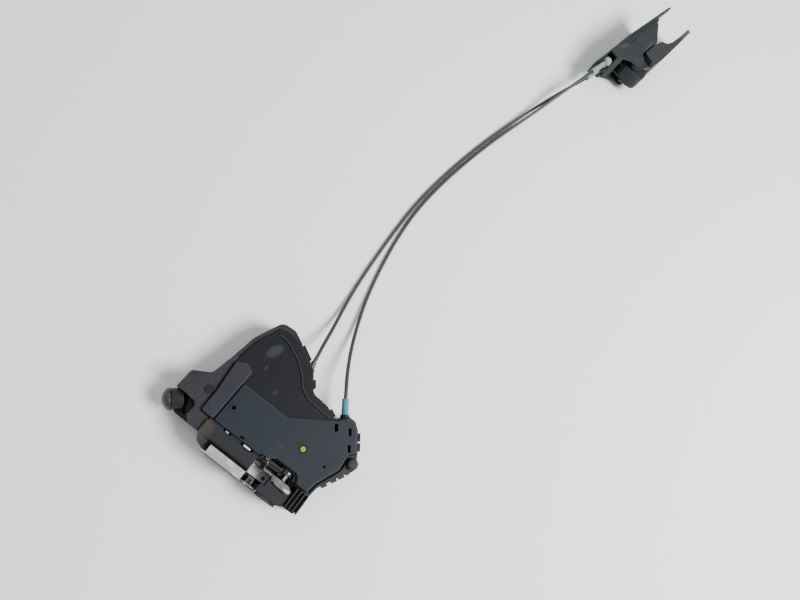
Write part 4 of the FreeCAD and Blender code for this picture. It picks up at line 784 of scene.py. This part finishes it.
SHADE_SHEET_SIDE = [(-55.0, 5.4), (-52.3, 5.4), (-52.3, 11.0), (-55.0, 11.0)]
bead("ear_mark", EAR_MARK, EAR_FACE, width=1.0, height=0.4, slot="case_plastic")
bead("ear_rim", EAR_RIM, EAR_FACE, width=1.5, height=0.55, slot="case_plastic")
bead("case_rim", CASE_RIM, CASE_BAND, width=1.5, height=0.8, slot="case_plastic")
bead("lobe_step", LOBE_STEP, LOBE_FACE, width=0.9, height=0.3, slot="cover_plastic")
bead("housing_seam", HOUSING_SEAM, HOUSING_FACE, width=0.7, height=0.3, slot="housing_plastic")
# Painted shade: two thin near-black sheets lie where the groove round the flange is in shade
for name, corners in (("flange_shade_sheet_back", SHADE_SHEET_BACK), ("flange_shade_sheet_side", SHADE_SHEET_SIDE)):
    shade_sheet = slab(name, corners, SHADE_SHEET_LOW, SHADE_SHEET_HIGH, "lock_body", "rubber", edge=0.15)
    dress(shade_sheet, flange_shade_sheet_finish)

# Guard over the latch plate's upper edge, from its front to its back face
PLATE_EDGE = [(10.2, 7.2), (12.6, 9.1), (19.0, 8.2), (25.8, 7.1), (30.0, 5.2), (33.4, 3.2), (34.1, 1.0)]
capping("plate_guard", PLATE_EDGE, front=-0.45, back=2.65, body="lock_body", slot="housing_plastic")

# Lips of the cover that lie over the latch housing's edge, with the slots' catches and a stud below them
SEAM_LINE = 28.8
SEAM_SPANS = [(-69.8, -52.4), (-43.2, -30.6), (-16.2, -9.6)]
for index, (start, end) in enumerate(SEAM_SPANS):
    route = [(start, SEAM_LINE), ((start + end) / 2, SEAM_LINE), (end, SEAM_LINE)]
    bead(f"seam_lip_{index + 1}", route, SEAM_FACE, width=1.9, height=0.7, slot="cover_plastic", sink=0.9)
WHITE_CATCH = [(-27.3, 28.1), (-19.1, 28.1), (-19.1, 29.8), (-27.3, 29.8)]
GREY_CATCH = [(-49.7, 27.9), (-45.8, 27.9), (-45.8, 29.7), (-49.7, 29.7)]
slab("white_catch", WHITE_CATCH, low=13.6, high=17.3, body="lock_body", slot="white_plastic", edge=0.4)
slab("grey_catch", GREY_CATCH, low=13.6, high=17.2, body="lock_body", slot="pale_plastic", edge=0.3)
STUD = (16.6, 19.8, 0.0)
STUD_RADIUS = 1.5
STUD_SIDES = 8
stud_corners = [(x, y) for x, y, _ in helix(STUD, STUD_RADIUS, 0.0, 1, 0.0, STUD_SIDES)[:-1]]
slab("bracket_stud", stud_corners, low=9.8, high=11.9, body="lock_body", slot="rivet_steel", edge=0.5)

# Return spring: a short coil with a leg at each end
SPRING_WIRE = 0.25
SPRING_AXIS = (-1.0, 34.4, 15.0)
SPRING_RADIUS = 2.2
SPRING_PITCH = 0.8
SPRING_TURNS = 2.25
UPPER_LEG_TIP = Vector((5.6, 38.4, 18.3))
UPPER_LEG_STEPS = 6
LOWER_LEG = [(2.6, 23.4, 13.85), (2.7, 26.4, 14.4), (2.9, 29.6, 14.9), (1.6, 31.4, 15.0), (-1.2, 32.0, 15.0),
             (-2.8, 33.0, 15.0)]
spring_coil = helix(SPRING_AXIS, SPRING_RADIUS, SPRING_PITCH, SPRING_TURNS, math.pi)
coil_end = Vector(spring_coil[-1])
upper_leg = [coil_end.lerp(UPPER_LEG_TIP, share / UPPER_LEG_STEPS) for share in range(1, UPPER_LEG_STEPS + 1)]
lower_leg = smoothed(LOWER_LEG)[:-1]
wire("return_spring", lower_leg + spring_coil + upper_leg, SPRING_WIRE, "lock_body", "spring_steel")

# Screw threads in the collars of the latch face, at these x and z
THREAD_PLACES = [(-46.0, 8.5), (-44.0, -17.0), (27.0, -2.0)]
THREAD_RADIUS = 2.5
THREAD_PITCH = 0.8
THREAD_LENGTH = 7.2
THREAD_START = 0.4
THREAD_SINK = 0.05
THREAD_WIRE = 0.28
THREAD_SIDES = 4


def make_thread(name, x, z):
    """Screw thread inside a collar of the latch face, which faces towards -Y."""
    turns = THREAD_LENGTH / THREAD_PITCH
    points = helix((x, z, THREAD_START), THREAD_RADIUS - THREAD_SINK, THREAD_PITCH, turns, 0.0)
    turned = [(a, along, b) for a, b, along in points]
    return wire(name, turned, THREAD_WIRE, "lock_body", "plated_steel", THREAD_SIDES)


for index, (x, z) in enumerate(THREAD_PLACES):
    make_thread(f"plate_thread_{index + 1}", x, z)


# Floor and soft studio light; a light is its name, place, aim, width in metres, power in watts and colour
FLOOR_HALF = 20.0
FLOOR_TONE = (0.835, 0.85, 0.835, 1.0)
FLOOR_ROUGHNESS = 0.75
SKY_TONE = (0.94, 0.965, 1.0, 1.0)
SKY_STRENGTH = 0.52
LIGHTS = [
    ("window light", (1.3, 0.5, 1.75), (0, 0.35, 0), 0.9, 98.5, (1.0, 1.0, 1.0)),
    ("room light", (-1.4, 0.9, 2.2), (0, 0.2, 0), 2.2, 18.0, (1.0, 0.98, 0.95))]


def make_floor():
    """Wide pale floor that the part lies on."""
    data = bpy.data.meshes.new("floor")
    corners = [(-1, -1), (1, -1), (1, 1), (-1, 1)]
    data.from_pydata([(x * FLOOR_HALF, y * FLOOR_HALF, FLOOR) for x, y in corners], [], [(0, 1, 2, 3)])
    floor = bpy.data.objects.new("floor", data)
    bpy.context.scene.collection.objects.link(floor)
    material, _, shader = new_material("pale floor")
    shader.inputs["Base Color"].default_value = FLOOR_TONE
    shader.inputs["Roughness"].default_value = FLOOR_ROUGHNESS
    data.materials.append(material)


def make_light(name, place_at, target, size, power, colour):
    """Round area light that faces its target."""
    data = bpy.data.lights.new(name, "AREA")
    data.shape = "DISK"
    data.size = size
    data.energy = power
    data.color = colour
    light = bpy.data.objects.new(name, data)
    bpy.context.scene.collection.objects.link(light)
    light.location = place_at
    light.rotation_euler = (Vector(target) - Vector(place_at)).to_track_quat("-Z", "Y").to_euler()


def make_world():
    """Even pale light from all around."""
    world = bpy.data.worlds.new("studio")
    world.use_nodes = True
    sky = world.node_tree.nodes["Background"]
    sky.inputs["Color"].default_value = SKY_TONE
    sky.inputs["Strength"].default_value = SKY_STRENGTH
    bpy.context.scene.world = world


make_floor()
make_world()
for light in LIGHTS:
    make_light(*light)
